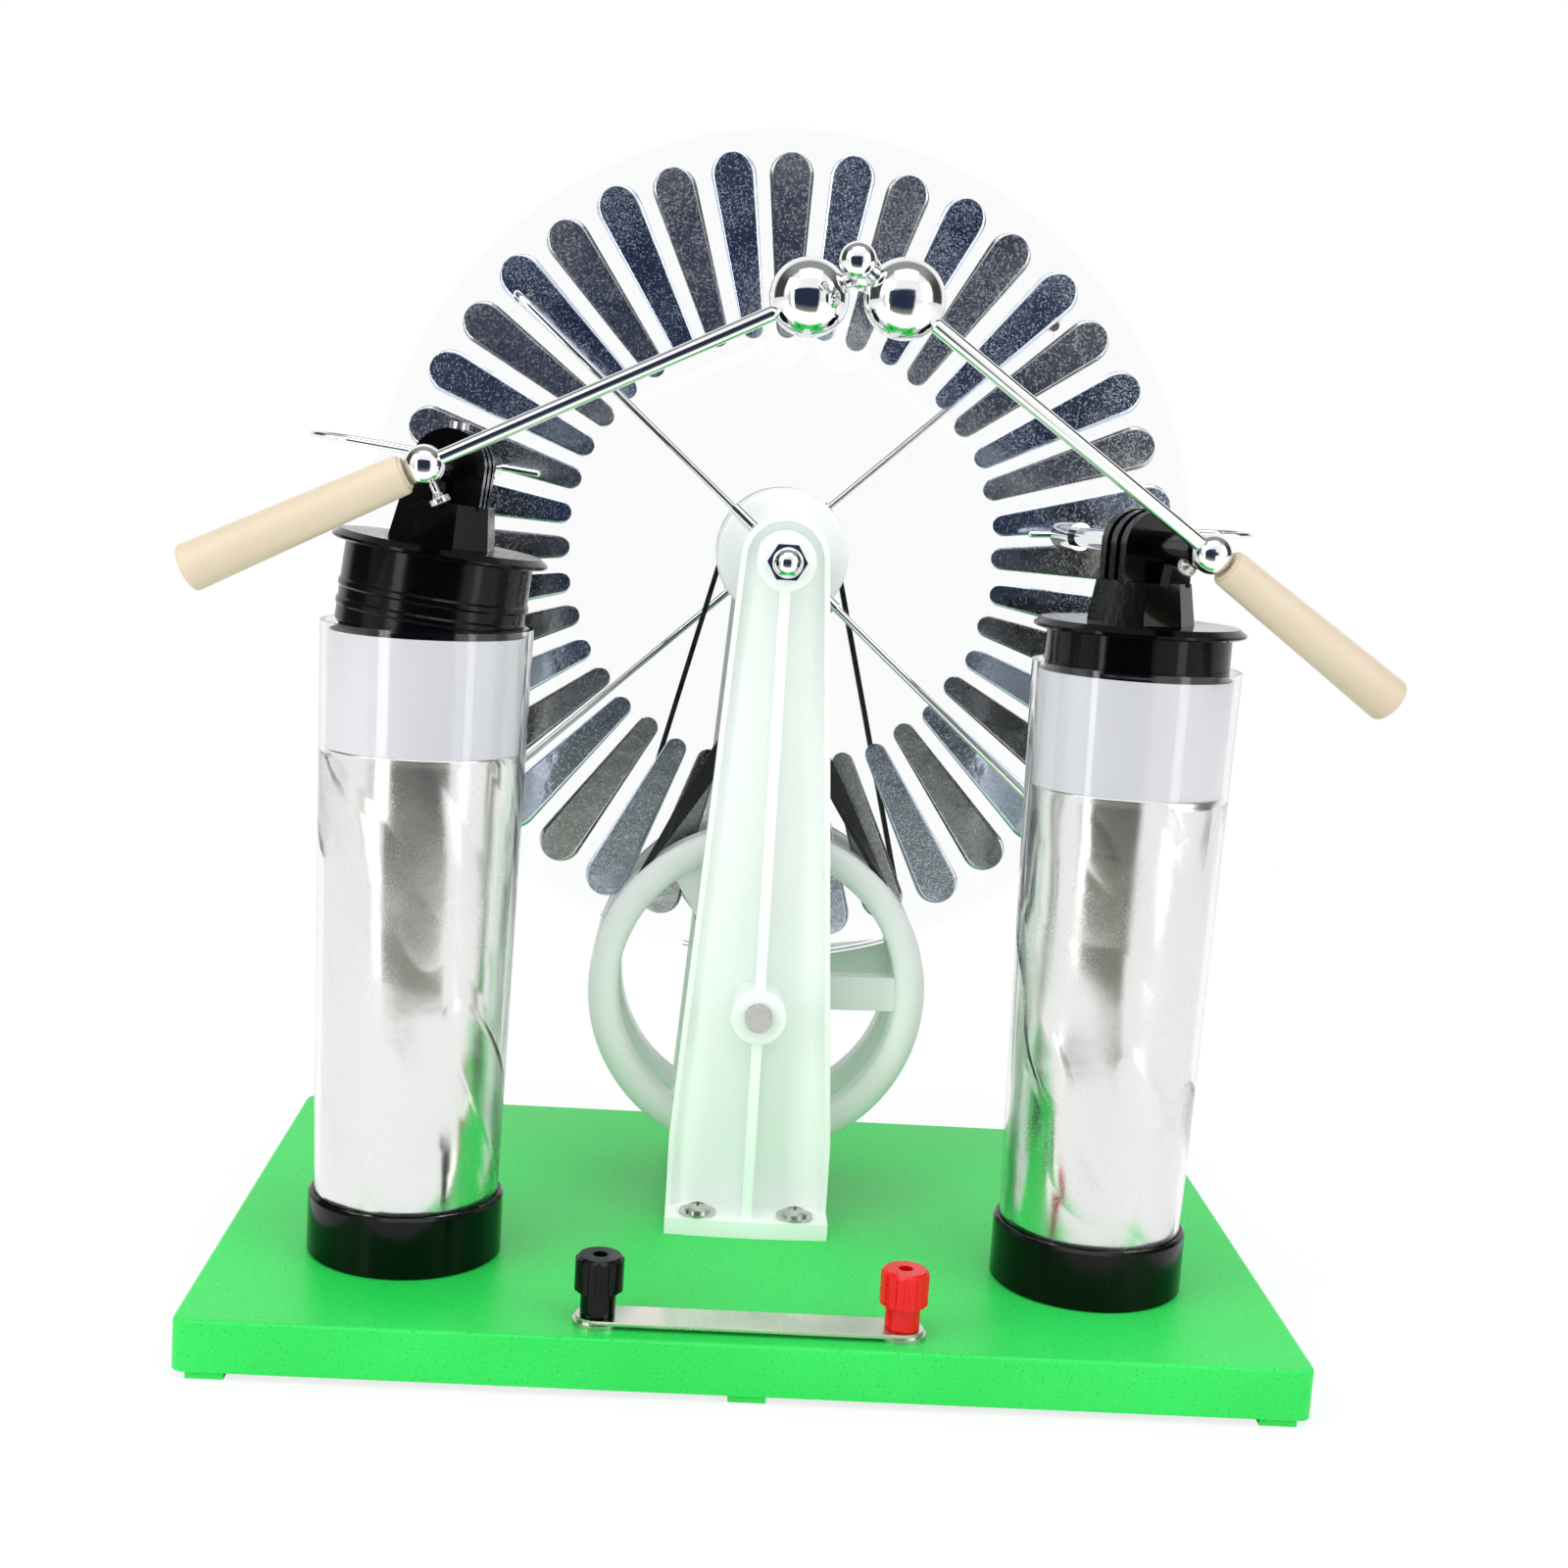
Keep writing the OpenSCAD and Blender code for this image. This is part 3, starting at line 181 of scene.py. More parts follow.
join(sky, mix_shaders(sky, sky_seen, sky_lit, backdrop.outputs[0]), sky_out.inputs["Surface"])

# The floor keeps the machine's shadow close to it and fades into the white background further out.
floor_gap = 0.0002
shadow_fades, near_share = (0.22, 0.62), 0.8
floor_mesh = bpy.data.meshes.new("floor")
floor_mesh.from_pydata([(x, y, -floor_gap) for x, y in ((-6, -4), (6, -4), (6, 9), (-6, 9))], [],
                       [(0, 1, 2, 3)])
floor = bpy.data.objects.new("floor", floor_mesh)
scene.collection.objects.link(floor)
floor_paint = bpy.data.materials.new("floor_paint")
floor_paint.use_nodes = True
ground = floor_paint.node_tree
ground.nodes.clear()
ground_out = ground.nodes.new("ShaderNodeOutputMaterial")
ground_path = ground.nodes.new("ShaderNodeLightPath")
ground_matt = ground.nodes.new("ShaderNodeBsdfDiffuse")
ground_matt.inputs["Color"].default_value = (0.86, 0.86, 0.86, 1)
ground_white = ground.nodes.new("ShaderNodeEmission")
ground_seen = math_node(ground, "MAXIMUM", ground_path.outputs["Is Camera Ray"],
                        ground_path.outputs["Is Transmission Ray"])
ground_place = ground.nodes.new("ShaderNodeTexCoord")
ground_length = ground.nodes.new("ShaderNodeVectorMath")
ground_length.operation = "LENGTH"
join(ground, ground_place.outputs["Object"], ground_length.inputs[0])
ground_far = fade(ground, ground_length.outputs["Value"], *shadow_fades, near_share, 1.0)
ground_share = math_node(ground, "MULTIPLY", ground_seen, ground_far)
join(ground, mix_shaders(ground, ground_share, ground_matt.outputs[0], ground_white.outputs[0]),
     ground_out.inputs["Surface"])
floor_mesh.materials.append(floor_paint)

# The cloth of the tent's opening, close in front: only mirrors see it, as a dark window with an olive
# foot and a paler wing on its left, and with a slot through which the left strip lamp shines.
cloth_y = -0.36
cloth_corners = ((-0.75, -0.05), (0.30, -0.05), (0.30, 0.66), (-0.75, 0.66))
olive, navy, wing_grey = (0.24, 0.25, 0.20, 1), (0.022, 0.032, 0.065, 1), (0.56, 0.56, 0.52, 1)
window_left, window_right = (-0.68, -0.48), (0.115, 0.165)
window_foot, window_head = (-0.01, 0.035), (0.385, 0.42)
slot_left, slot_right = (-0.42, -0.40), (-0.31, -0.29)
olive_ends, wing_ends = (0.05, 0.17), (-0.34, -0.25)
card_mesh = bpy.data.meshes.new("dark_screen")
card_mesh.from_pydata([(x, cloth_y, z) for x, z in cloth_corners], [], [(0, 1, 2, 3)])
card = bpy.data.objects.new("dark_screen", card_mesh)
scene.collection.objects.link(card)
card_paint = bpy.data.materials.new("dark_screen_cloth")
card_paint.use_nodes = True
cloth = card_paint.node_tree
cloth.nodes.clear()
cloth_out = cloth.nodes.new("ShaderNodeOutputMaterial")
cloth_path = cloth.nodes.new("ShaderNodeLightPath")
cloth_place = cloth.nodes.new("ShaderNodeTexCoord")
cloth_axes = cloth.nodes.new("ShaderNodeSeparateXYZ")
join(cloth, cloth_place.outputs["Object"], cloth_axes.inputs[0])
cloth_x, cloth_z = cloth_axes.outputs["X"], cloth_axes.outputs["Z"]
cloth_mask = math_node(cloth, "MULTIPLY", band(cloth, cloth_x, window_left, window_right),
                       band(cloth, cloth_z, window_foot, window_head))
cloth_slot = band(cloth, cloth_x, slot_left, slot_right)
cloth_mask = math_node(cloth, "MULTIPLY", cloth_mask, math_node(cloth, "SUBTRACT", 1.0, cloth_slot))
cloth_core = blend_colours(cloth, fade(cloth, cloth_z, *olive_ends), olive, navy)
cloth_tone = cloth.nodes.new("ShaderNodeEmission")
join(cloth, blend_colours(cloth, fade(cloth, cloth_x, *wing_ends), wing_grey, cloth_core),
     cloth_tone.inputs["Color"])
cloth_clear = cloth.nodes.new("ShaderNodeBsdfTransparent")
cloth_share = math_node(cloth, "MULTIPLY", cloth_mask, seen_in_mirrors(cloth, cloth_path))
join(cloth, mix_shaders(cloth, cloth_share, cloth_clear.outputs[0], cloth_tone.outputs[0]),
     cloth_out.inputs["Surface"])
card_mesh.materials.append(card_paint)


def soft_box(name, place, aim, size, watts):
    """A rectangular lamp at place, turned so that it shines towards aim; size is its width and height."""
    lamp = bpy.data.lights.new(name, "AREA")
    lamp.shape = "RECTANGLE"
    lamp.size, lamp.size_y = size
    lamp.energy = watts
    holder = bpy.data.objects.new(name, lamp)
    holder.visible_camera = False
    scene.collection.objects.link(holder)
    back = np.array(place, float) - np.array(aim, float)
    back = back / np.linalg.norm(back)
    across = np.cross((0, 0, 1.0), back)
    across = across / np.linalg.norm(across)
    lamp_axes = np.eye(4)
    lamp_axes[:3, 0] = across
    lamp_axes[:3, 1] = np.cross(back, across)
    lamp_axes[:3, 2] = back
    lamp_axes[:3, 3] = place
    holder.matrix_world = Matrix(lamp_axes.tolist())


soft_box("left_soft_box", place=(-1.1, -0.75, 0.85), aim=(0, 0, 0.15), size=(0.9, 1.0), watts=4.0)
soft_box("right_soft_box", place=(1.15, -0.7, 0.7), aim=(0, 0, 0.15), size=(0.7, 1.0), watts=2.8)
soft_box("left_strip", place=(-0.38, -0.41, 0.21), aim=(0, -0.04, 0.15), size=(0.13, 0.40), watts=0.45)
soft_box("right_strip", place=(0.45, -0.41, 0.22), aim=(0, -0.04, 0.15), size=(0.10, 0.40), watts=0.25)
soft_box("top_soft_box", place=(0.0, -0.45, 1.25), aim=(0, 0, 0.1), size=(1.0, 0.6), watts=3.4)


# BASE. An injection-moulded tray in bright green ABS that stands on pads under its edges; the satin
# top shows fine dark specks of reground plastic and a faint mottling.
def new_group(name, inputs, outputs):
    """An empty shader node group with the named number inputs and named outputs."""
    group = bpy.data.node_groups.new(name, "ShaderNodeTree")
    for label, value in inputs:
        socket = group.interface.new_socket(label, in_out="INPUT", socket_type="NodeSocketFloat")
        socket.default_value = value
    for label in outputs:
        group.interface.new_socket(label, in_out="OUTPUT", socket_type="NodeSocketFloat")
    return group, group.nodes.new("NodeGroupInput"), group.nodes.new("NodeGroupOutput")


def object_noise(tree, scale, detail, stretch=(1, 1, 1), turn=(0, 0, 0)):
    """Noise over the piece's own coordinates, drawn out along an axis where stretch is below one."""
    where = tree.nodes.new("ShaderNodeTexCoord")
    mapping = tree.nodes.new("ShaderNodeMapping")
    mapping.inputs["Scale"].default_value = stretch
    mapping.inputs["Rotation"].default_value = turn
    join(tree, where.outputs["Object"], mapping.inputs["Vector"])
    noise = tree.nodes.new("ShaderNodeTexNoise")
    join(tree, mapping.outputs[0], noise.inputs["Vector"])
    if isinstance(scale, (int, float)):
        noise.inputs["Scale"].default_value = scale
    else:
        join(tree, scale, noise.inputs["Scale"])
    noise.inputs["Detail"].default_value = detail
    noise.inputs["Roughness"].default_value = 0.5
    return noise.outputs["Fac"]


moulding, moulding_in, moulding_out = new_group(
    "moulded_skin", [("Grain Scale", 900.0), ("Speck Scale", 700.0), ("Speck Share", 0.3)],
    ["Specks", "Mottle", "Height"])
join(moulding, object_noise(moulding, moulding_in.outputs["Grain Scale"], 3.0),
     moulding_out.inputs["Height"])
join(moulding, object_noise(moulding, 14.0, 2.0), moulding_out.inputs["Mottle"])
speck_noise = object_noise(moulding, moulding_in.outputs["Speck Scale"], 1.0)
speck_edge = math_node(moulding, "SUBTRACT", 1.0, moulding_in.outputs["Speck Share"])
speck_sharpness = 14.0
join(moulding, math_node(moulding, "MULTIPLY", math_node(moulding, "SUBTRACT", speck_noise, speck_edge),
                         speck_sharpness, clamp=True), moulding_out.inputs["Specks"])


def new_finish(name, colour, roughness, metallic=0.0, **sockets):
    """A material with one Principled shader; sockets holds further constant inputs by name."""
    material = bpy.data.materials.new(name)
    material.use_nodes = True
    tree = material.node_tree
    shader = tree.nodes["Principled BSDF"]
    shader.inputs["Base Color"].default_value = (*colour, 1)
    shader.inputs["Roughness"].default_value = roughness
    shader.inputs["Metallic"].default_value = metallic
    for label, value in sockets.items():
        shader.inputs[label.replace("_", " ")].default_value = value
    return material, tree, shader


def place_group(tree, group, **values):
    """Puts a shared node group into a material with its own numbers."""
    node = tree.nodes.new("ShaderNodeGroup")
    node.node_tree = group
    for label, value in values.items():
        node.inputs[label.replace("_", " ")].default_value = value
    return node.outputs


def raise_skin(tree, shader, height, distance, strength):
    """Sends a height through a Bump node to the shader's normal; distance is in metres."""
    bump = tree.nodes.new("ShaderNodeBump")
    bump.inputs["Distance"].default_value = distance
    bump.inputs["Strength"].default_value = strength
    join(tree, height, bump.inputs["Height"])
    join(tree, bump.outputs[0], shader.inputs["Normal"])


def moulded_finish(name, tones, roughness, relief, grain_scale, speck=None, speck_depth=0.0,
                   speck_size=(300.0, 0.2), mottle_span=(0.3, 0.7), **sockets):
    """Moulded plastic or rubber: two tones wander with the mottle, and specks may lie in them.

    roughness holds its least and greatest value, which follow the mottle over mottle_span, relief the
    grain's height in metres and its strength, speck the specks' colour, speck_depth how far it covers
    the tones, and speck_size the specks' noise scale and share.
    """
    material, tree, shader = new_finish(name, tones[0], roughness[0], **sockets)
    skin = place_group(tree, moulding, Grain_Scale=grain_scale, Speck_Scale=speck_size[0],
                       Speck_Share=speck_size[1])
    colour = blend_colours(tree, fade(tree, skin["Mottle"], 0.3, 0.7), (*tones[0], 1), (*tones[1], 1))
    if speck:
        colour = blend_colours(tree, math_node(tree, "MULTIPLY", skin["Specks"], speck_depth), colour,
                               (*speck, 1))
    join(tree, colour, shader.inputs["Base Color"])
    join(tree, fade(tree, skin["Mottle"], *mottle_span, *roughness), shader.inputs["Roughness"])
    raise_skin(tree, shader, skin["Height"], *relief)
    return material


def dress(material, *names):
    """Gives CAD nodes their finish."""
    for name in names:
        for slot in frame["nodes"][name].material_slots:
            slot.material = material


green_finish = moulded_finish(
    "green_moulding", tones=((0.019, 0.60, 0.080), (0.028, 0.68, 0.105)), speck=(0.010, 0.34, 0.045),
    speck_depth=0.55, speck_size=(1300.0, 0.38), roughness=(0.33, 0.46), relief=(0.00006, 0.5),
    grain_scale=1300.0, mottle_span=(0.25, 0.75), Specular_IOR_Level=0.30)
dress(green_finish, "base_plate")


# UPRIGHTS, WHEELS, PULLEYS, COLLARS AND SPACER. Natural polypropylene: milky, with a slight green tint
# painted into it for the light the base shines into it, a soft shine and faint flow marks from the mould.
# The uprights stand on the base with two screws each and carry the fixed axle above and the drive shaft below.
# Both tones are tinted slightly green all over: painted light standing in for the green the base shines into the
# plastic.
milky_finish = moulded_finish(
    "milky_moulding", tones=((0.875, 0.955, 0.905), (0.925, 0.975, 0.945)), speck=(0.62, 0.66, 0.60),
    speck_depth=0.16, speck_size=(420.0, 0.24), roughness=(0.30, 0.44), relief=(0.00005, 0.4),
    grain_scale=700.0, Subsurface_Weight=0.22, Subsurface_Scale=0.006, Subsurface_Radius=(0.8, 1.0, 0.85))
dress(milky_finish, "front_upright", "rear_upright", "front_drive_wheel", "rear_drive_wheel",
      "front_pulley", "rear_pulley", "front_rod_collar", "rear_rod_collar", "disc_spacer")


# SCREWS, WASHERS, NUTS, STUDS, SHAFTS AND BARS. Zinc-plated steel, turned or cold headed, with fine
# scratches and dull smudges; the bars and rods are chrome plated, the link is nickel strip and the
# leads under the base are rolled brass.
scratching, scratching_in, scratching_out = new_group(
    "fine_scratches", [("Scale", 3000.0)], ["Scratches", "Smudges"])
streaks = []
for turn in ((0.3, 0.5, 0.1), (1.1, -0.7, 0.9), (-0.6, 0.2, 2.0)):
    streak = object_noise(scratching, scratching_in.outputs["Scale"], 0.0, (1, 0.016, 1), turn)
    streaks.append(fade(scratching, streak, 0.69, 0.76))
any_streak = math_node(scratching, "MAXIMUM", streaks[0], streaks[1])
any_streak = math_node(scratching, "MAXIMUM", any_streak, streaks[2])
worn = fade(scratching, object_noise(scratching, 45.0, 2.0), 0.38, 0.60)
join(scratching, math_node(scratching, "MULTIPLY", any_streak, worn), scratching_out.inputs["Scratches"])
join(scratching, object_noise(scratching, 28.0, 3.0), scratching_out.inputs["Smudges"])


scratch_haze, smudge_shade = 0.14, 0.80


def metal_finish(name, colour, roughness, scratch_scale, height=0.00001, tarnish=0.6):
    """Bare or plated metal whose roughness wanders between two values and rises in its scratches."""
    material, tree, shader = new_finish(name, colour, roughness[0], 1.0)
    marks = place_group(tree, scratching, Scale=scratch_scale)
    wandering = fade(tree, marks["Smudges"], 0.3, 0.72, *roughness)
    scratched = math_node(tree, "MULTIPLY", marks["Scratches"], scratch_haze)
    join(tree, math_node(tree, "ADD", wandering, scratched, clamp=True), shader.inputs["Roughness"])
    dull = tuple(smudge_shade * part for part in colour)
    join(tree, blend_colours(tree, math_node(tree, "MULTIPLY", fade(tree, marks["Smudges"], 0.45, 0.8),
                                             tarnish), (*colour, 1), (*dull, 1)),
         shader.inputs["Base Color"])
    raise_skin(tree, shader, marks["Scratches"], height, 0.6)
    return material


zinc_finish = metal_finish("zinc_plated_steel", (0.62, 0.61, 0.59), (0.22, 0.38), 4500.0)
dress(zinc_finish, "upright_screws", "upright_washers", "disc_axle", "drive_shaft", "wheel_screws",
      "jar_screws", "stopper_screws", "inner_contacts", "post_studs")
chrome_finish = metal_finish("chrome_plate", (0.86, 0.865, 0.87), (0.025, 0.07), 4000.0, 0.000003, 0.25)
dress(chrome_finish, "axle_nuts", "left_terminal_bar", "right_terminal_bar", "left_collector",
      "right_collector", "left_discharge_rod", "right_discharge_rod", "front_rods", "rear_rods",
      "crank_arm", "crank_pin", "left_pivot_ball", "right_pivot_ball", "left_spark_balls",
      "right_spark_balls")
nickel_finish = metal_finish("nickel_strip", (0.74, 0.72, 0.66), (0.12, 0.30), 3000.0, 0.000006)
dress(nickel_finish, "link_bar")
brass_finish = metal_finish("rolled_brass", (0.72, 0.55, 0.27), (0.25, 0.42), 3000.0, 0.000006)
dress(brass_finish, "lead_strips", "front_brushes", "rear_brushes")


# BALLS. Brass balls, turned, drilled for the rods, chamfered at the holes and chrome plated: a large
# and a small one at the end of each discharge rod, and a swivel ball pinned on each terminal bar.
def grid_faces(rows, columns, ring_rows=False, ring_columns=True):
    """Quads of a grid of points stored row by row; a ring joins its last row or column to its first."""
    row = np.arange(rows if ring_rows else rows - 1)[:, None]
    column = np.arange(columns if ring_columns else columns - 1)[None, :]
    next_row = (row + 1) % rows
    next_column = (column + 1) % columns
    corners = (row * columns + column, row * columns + next_column,
               next_row * columns + next_column, next_row * columns + column)
    return np.stack([corner + 0 * row + 0 * column for corner in corners], axis=-1).reshape(-1, 4)


def make_piece(name, points, faces, finish, body):
    """A smooth mesh object at the origin, its place in its points, with outward faces, riding on a body."""
    mesh = bpy.data.meshes.new(name)
    mesh.from_pydata(np.asarray(points, float).reshape(-1, 3).tolist(), [], np.asarray(faces).tolist())
    mesh.polygons.foreach_set("use_smooth", np.ones(len(mesh.polygons), bool))
    mesh.materials.append(finish)
    piece = bpy.data.objects.new(name, mesh)
    scene.collection.objects.link(piece)
    merged = bmesh.new()
    merged.from_mesh(mesh)
    bmesh.ops.remove_doubles(merged, verts=merged.verts, dist=1e-7)
    bmesh.ops.recalc_face_normals(merged, faces=merged.faces)
    merged.to_mesh(mesh)
    merged.free()
    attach(piece, body)
    return piece


def turned_about(y_angle, z_angle=0.0):
    """A turn about Z by z_angle and then about Y by y_angle, in degrees, as a 3 by 3 array."""
    a, b = np.radians([y_angle, z_angle])
    about_y = np.array([[np.cos(a), 0, np.sin(a)], [0, 1, 0], [-np.sin(a), 0, np.cos(a)]])
    about_z = np.array([[np.cos(b), -np.sin(b), 0], [np.sin(b), np.cos(b), 0], [0, 0, 1]])
    return about_y @ about_z


def lathe(profile, around, turn=np.eye(3), origin=(0, 0, 0)):
    """Spins a profile of points (distance x along X, radius r) about X, then turns and moves it.

    A point comes to turn @ (x, r cos a, r sin a) + origin for each of the angles a all round.
    """
    profile = np.asarray(profile, float)
    angle = np.linspace(0, 2 * np.pi, around, endpoint=False)
    points = np.stack([profile[:, :1] + 0 * angle, profile[:, 1:] * np.cos(angle),
                       profile[:, 1:] * np.sin(angle)], axis=-1)
    return points @ turn.T + np.asarray(origin)


def drilled_ball(centre, radius, bore, steps, chamfer=0.0003):
    """Closed profile of a ball on X with a chamfered hole through it: the outer arc, then the bore."""
    mouth = np.arcsin((bore + chamfer) / radius)
    angle = np.linspace(np.pi - mouth, mouth, steps)
    arc = np.stack([centre + radius * np.cos(angle), radius * np.sin(angle)], axis=1)
    reach = radius * np.cos(mouth)
    hole = [(centre + reach - chamfer, bore), (centre, bore), (centre - reach + chamfer, bore)]
    return np.concatenate([arc, hole])


joints = {joint["name"]: joint for joint in frame["joints"]}
rod_radius, swivel_radius = 0.002, 0.00525
ball_at, ball_radius = 0.106, 0.010
tip_at, tip_radius, tip_mouth = 0.121, 0.0046, 0.50
hole_end, hole_mouth = tip_at - 0.0005, tip_at - 0.0042
ball_sides = 96
arms = {}
for side, stopper_lean, stopper_twist, arm_angle in (("left", 6.5, -4.5, -33.0), ("right", 0, 14.5, -147.0)):
    arm_turn = turned_about(stopper_lean, stopper_twist) @ turned_about(arm_angle)
    arms[side] = (arm_turn, np.array(joints[side + "_arm_swing"]["pos_m"]))
    ball = drilled_ball(ball_at, ball_radius, rod_radius, 72)
    tip_angle = np.linspace(np.pi - tip_mouth, 0, 48)
    tip_arc = np.stack([tip_at + tip_radius * np.cos(tip_angle), tip_radius * np.sin(tip_angle)], axis=1)
    tip = np.concatenate([[(hole_end, 0.0), (hole_end, rod_radius), (hole_mouth, rod_radius)], tip_arc])
    points = np.concatenate([lathe(outline, ball_sides, *arms[side]) for outline in (ball, tip)])
    faces = np.concatenate([grid_faces(len(ball), ball_sides, ring_rows=True),
                            grid_faces(len(tip), ball_sides) + len(ball) * ball_sides])
    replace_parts(make_piece(side + "_spark_ball_pair", points, faces, chrome_finish, side + "_arm"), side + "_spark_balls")
    swivel = drilled_ball(0.0, swivel_radius, rod_radius, 56)
    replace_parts(make_piece(side + "_swivel_ball", lathe(swivel, ball_sides, *arms[side]),
                           grid_faces(len(swivel), ball_sides, ring_rows=True), chrome_finish,
                           side + "_arm"), side + "_pivot_ball")


# CLAMP SCREWS. A small plated thumb screw in each swivel ball, square to the rod, holds the rod; its
# head is a flat knurled disc.
thread_root, thread_crest, thread_pitch = 0.00088, 0.0010, 0.0005
head_radius, groove_share = 0.0026, 0.93
screw_sides = 60
for side, about_rod in (("left", 0.0), ("right", 120.0)):
    arm_turn, arm_origin = arms[side]
    b = np.radians(about_rod)
    way = np.array([0.0, np.sin(b), -np.cos(b)])
    across = np.array([1.0, 0.0, 0.0])
    screw_turn = arm_turn @ np.stack([way, across, np.cross(way, across)], axis=1)
    shank = [(0.0045, 0.0), (0.0045, 0.0009), (0.0049, 0.0009)]
    for turn in range(5):
        along = 0.0050 + turn * thread_pitch
        shank += [(along, thread_root), (along + thread_pitch / 2, thread_crest)]
    head = [(0.0078, 0.0009), (0.0080, 0.0013), (0.0088, 0.0014), (0.0089, 0.0024), (0.0091, head_radius),
            (0.0104, head_radius), (0.0106, 0.0024), (0.0106, 0.0)]
    screw = np.array(shank + head)
    points = lathe(screw, screw_sides)
    in_groove = (screw[:, 1] >= head_radius)[:, None] & (np.arange(screw_sides) % 3 == 0)[None, :]
    points[..., 1:] *= np.where(in_groove, groove_share, 1.0)[..., None]
    make_piece(side + "_clamp_screw", points @ screw_turn.T + arm_origin,
               grid_faces(len(screw), screw_sides), zinc_finish, side + "_arm")


# TINSEL BRUSHES. Two dozen fine brass wires are crimped into the end of each neutralising rod and
# fan out until they brush the sectors.
def tubes(paths, radius, sides=5):
    """Round tubes along many paths at once: paths is (tube, station, 3), and all have the one radius.

    A point is path + radius (aside cos a + over sin a), where aside and over are square to the path.
    """
    ahead = np.gradient(paths, axis=1)
    ahead = ahead / np.linalg.norm(ahead, axis=-1, keepdims=True)
    aside = np.cross(ahead, np.array([0.31, 0.19, 0.93]))
    aside = aside / np.linalg.norm(aside, axis=-1, keepdims=True)
    over = np.cross(ahead, aside)
    angle = np.linspace(0, 2 * np.pi, sides, endpoint=False)
    ring = aside[:, :, None] * np.cos(angle)[:, None] + over[:, :, None] * np.sin(angle)[:, None]
    points = paths[:, :, None] + ring * radius
    count, stations = paths.shape[:2]
    quads = grid_faces(stations, sides)
    faces = (quads[None] + (np.arange(count) * stations * sides)[:, None, None]).reshape(-1, 4)
    return points.reshape(-1, 3), faces


axle_z = joints["front_disc_spin"]["pos_m"][2]
front_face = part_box("front_disc")[0][1]
rear_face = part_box("rear_disc")[1][1]
brush_at = 0.108
crimp_y = front_face - 0.0042
tip_range = (front_face - 0.0009, front_face - 0.00055)
wire_count, wire_radius = 26, 0.00007
bundle_spread, fan_out, fan_scatter, fan_curve = 0.0003, 3.0, 0.0009, 1.6
wires = np.random.default_rng(41)
for side, rod_angle in (("front", 139.0), ("rear", 43.0)):
    bundles = []
    for turn in (rod_angle, rod_angle + 180):
        start = wires.normal(0, bundle_spread, (wire_count, 2))
        spread = start * fan_out + wires.normal(0, fan_scatter, (wire_count, 2))
        share = np.linspace(0, 1, 8)
        lean = start[:, None] + (spread - start)[:, None] * share[:, None] ** fan_curve
        y = crimp_y + (wires.uniform(*tip_range, (wire_count, 1)) - crimp_y) * share
        out = brush_at + lean[..., 0]
        rise = lean[..., 1]
        a = np.radians(turn)
        path = np.stack([out * np.cos(a) - rise * np.sin(a), y,
                         axle_z + out * np.sin(a) + rise * np.cos(a)], axis=-1)
        if side == "rear":
            path[..., 1] = front_face + rear_face - path[..., 1]
        bundles.append(path)
    points, faces = tubes(np.concatenate(bundles), wire_radius)
    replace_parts(make_piece(side + "_tinsel", points, faces, brass_finish, side + "_neutraliser"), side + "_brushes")


# CLEAR DISCS. Cast acrylic sheet, 2.5 mm thick with sawn and flamed edges, nearly invisible from the
# front, with a little dust and hairline scratches. The index is set low, because the photographed
# discs hardly mirror the tent.
def clear_finish(name, tint, ior, smudge):
    """Clear plastic: full transmission, with a roughness that rises a little in smudges and scratches."""
    material, tree, shader = new_finish(name, tint, 0.0, Transmission_Weight=1.0, IOR=ior)
    marks = place_group(tree, scratching, Scale=2600.0)
    haze = fade(tree, marks["Smudges"], 0.5, 0.85, 0.0, smudge)
    join(tree, math_node(tree, "ADD", haze, math_node(tree, "MULTIPLY", marks["Scratches"], 0.10)),
         shader.inputs["Roughness"])
    return material


acrylic_finish = clear_finish("clear_acrylic", (0.996, 0.998, 1.0), 1.22, 0.02)
dress(acrylic_finish, "front_disc", "rear_disc")


# FOIL SECTORS. Petals die cut from thin self-adhesive aluminium foil, twenty on the outer face of each
# disc, rubbed down by hand: dark where they mirror the room, with air bubbles and small creases.
def foil_finish(name, colour, roughness, waves, fleck_share, fleck_depth, fleck_haze):
    """Thin foil: broad noise gives soft waves, and flecks are small air bubbles and pinholes.

    roughness is its least and greatest value, and waves the noise scale and the height in metres.
    """
    material, tree, shader = new_finish(name, colour, roughness[0], 1.0)
    marks = place_group(tree, scratching, Scale=3000.0)
    flecks = fade(tree, object_noise(tree, 1500.0, 2.0), 1.0 - fleck_share, 1.05 - fleck_share)
    wander = fade(tree, marks["Smudges"], 0.3, 0.7, *roughness)
    rough = math_node(tree, "ADD", wander, math_node(tree, "MULTIPLY", flecks, fleck_haze), clamp=True)
    join(tree, math_node(tree, "ADD", rough, math_node(tree, "MULTIPLY", marks["Scratches"], 0.12)),
         shader.inputs["Roughness"])
    pale = tuple(min(1.0, 1.12 * part + 0.05) for part in colour)
    marked = math_node(tree, "MAXIMUM", flecks, marks["Scratches"])
    join(tree, blend_colours(tree, math_node(tree, "MULTIPLY", marked, 0.6), (*colour, 1), (*pale, 1)),
         shader.inputs["Base Color"])
    pits = math_node(tree, "MULTIPLY", math_node(tree, "ADD", flecks, marks["Scratches"]), fleck_depth)
    raise_skin(tree, shader, math_node(tree, "ADD", object_noise(tree, waves[0], 2.5), pits), waves[1], 0.8)
    return material


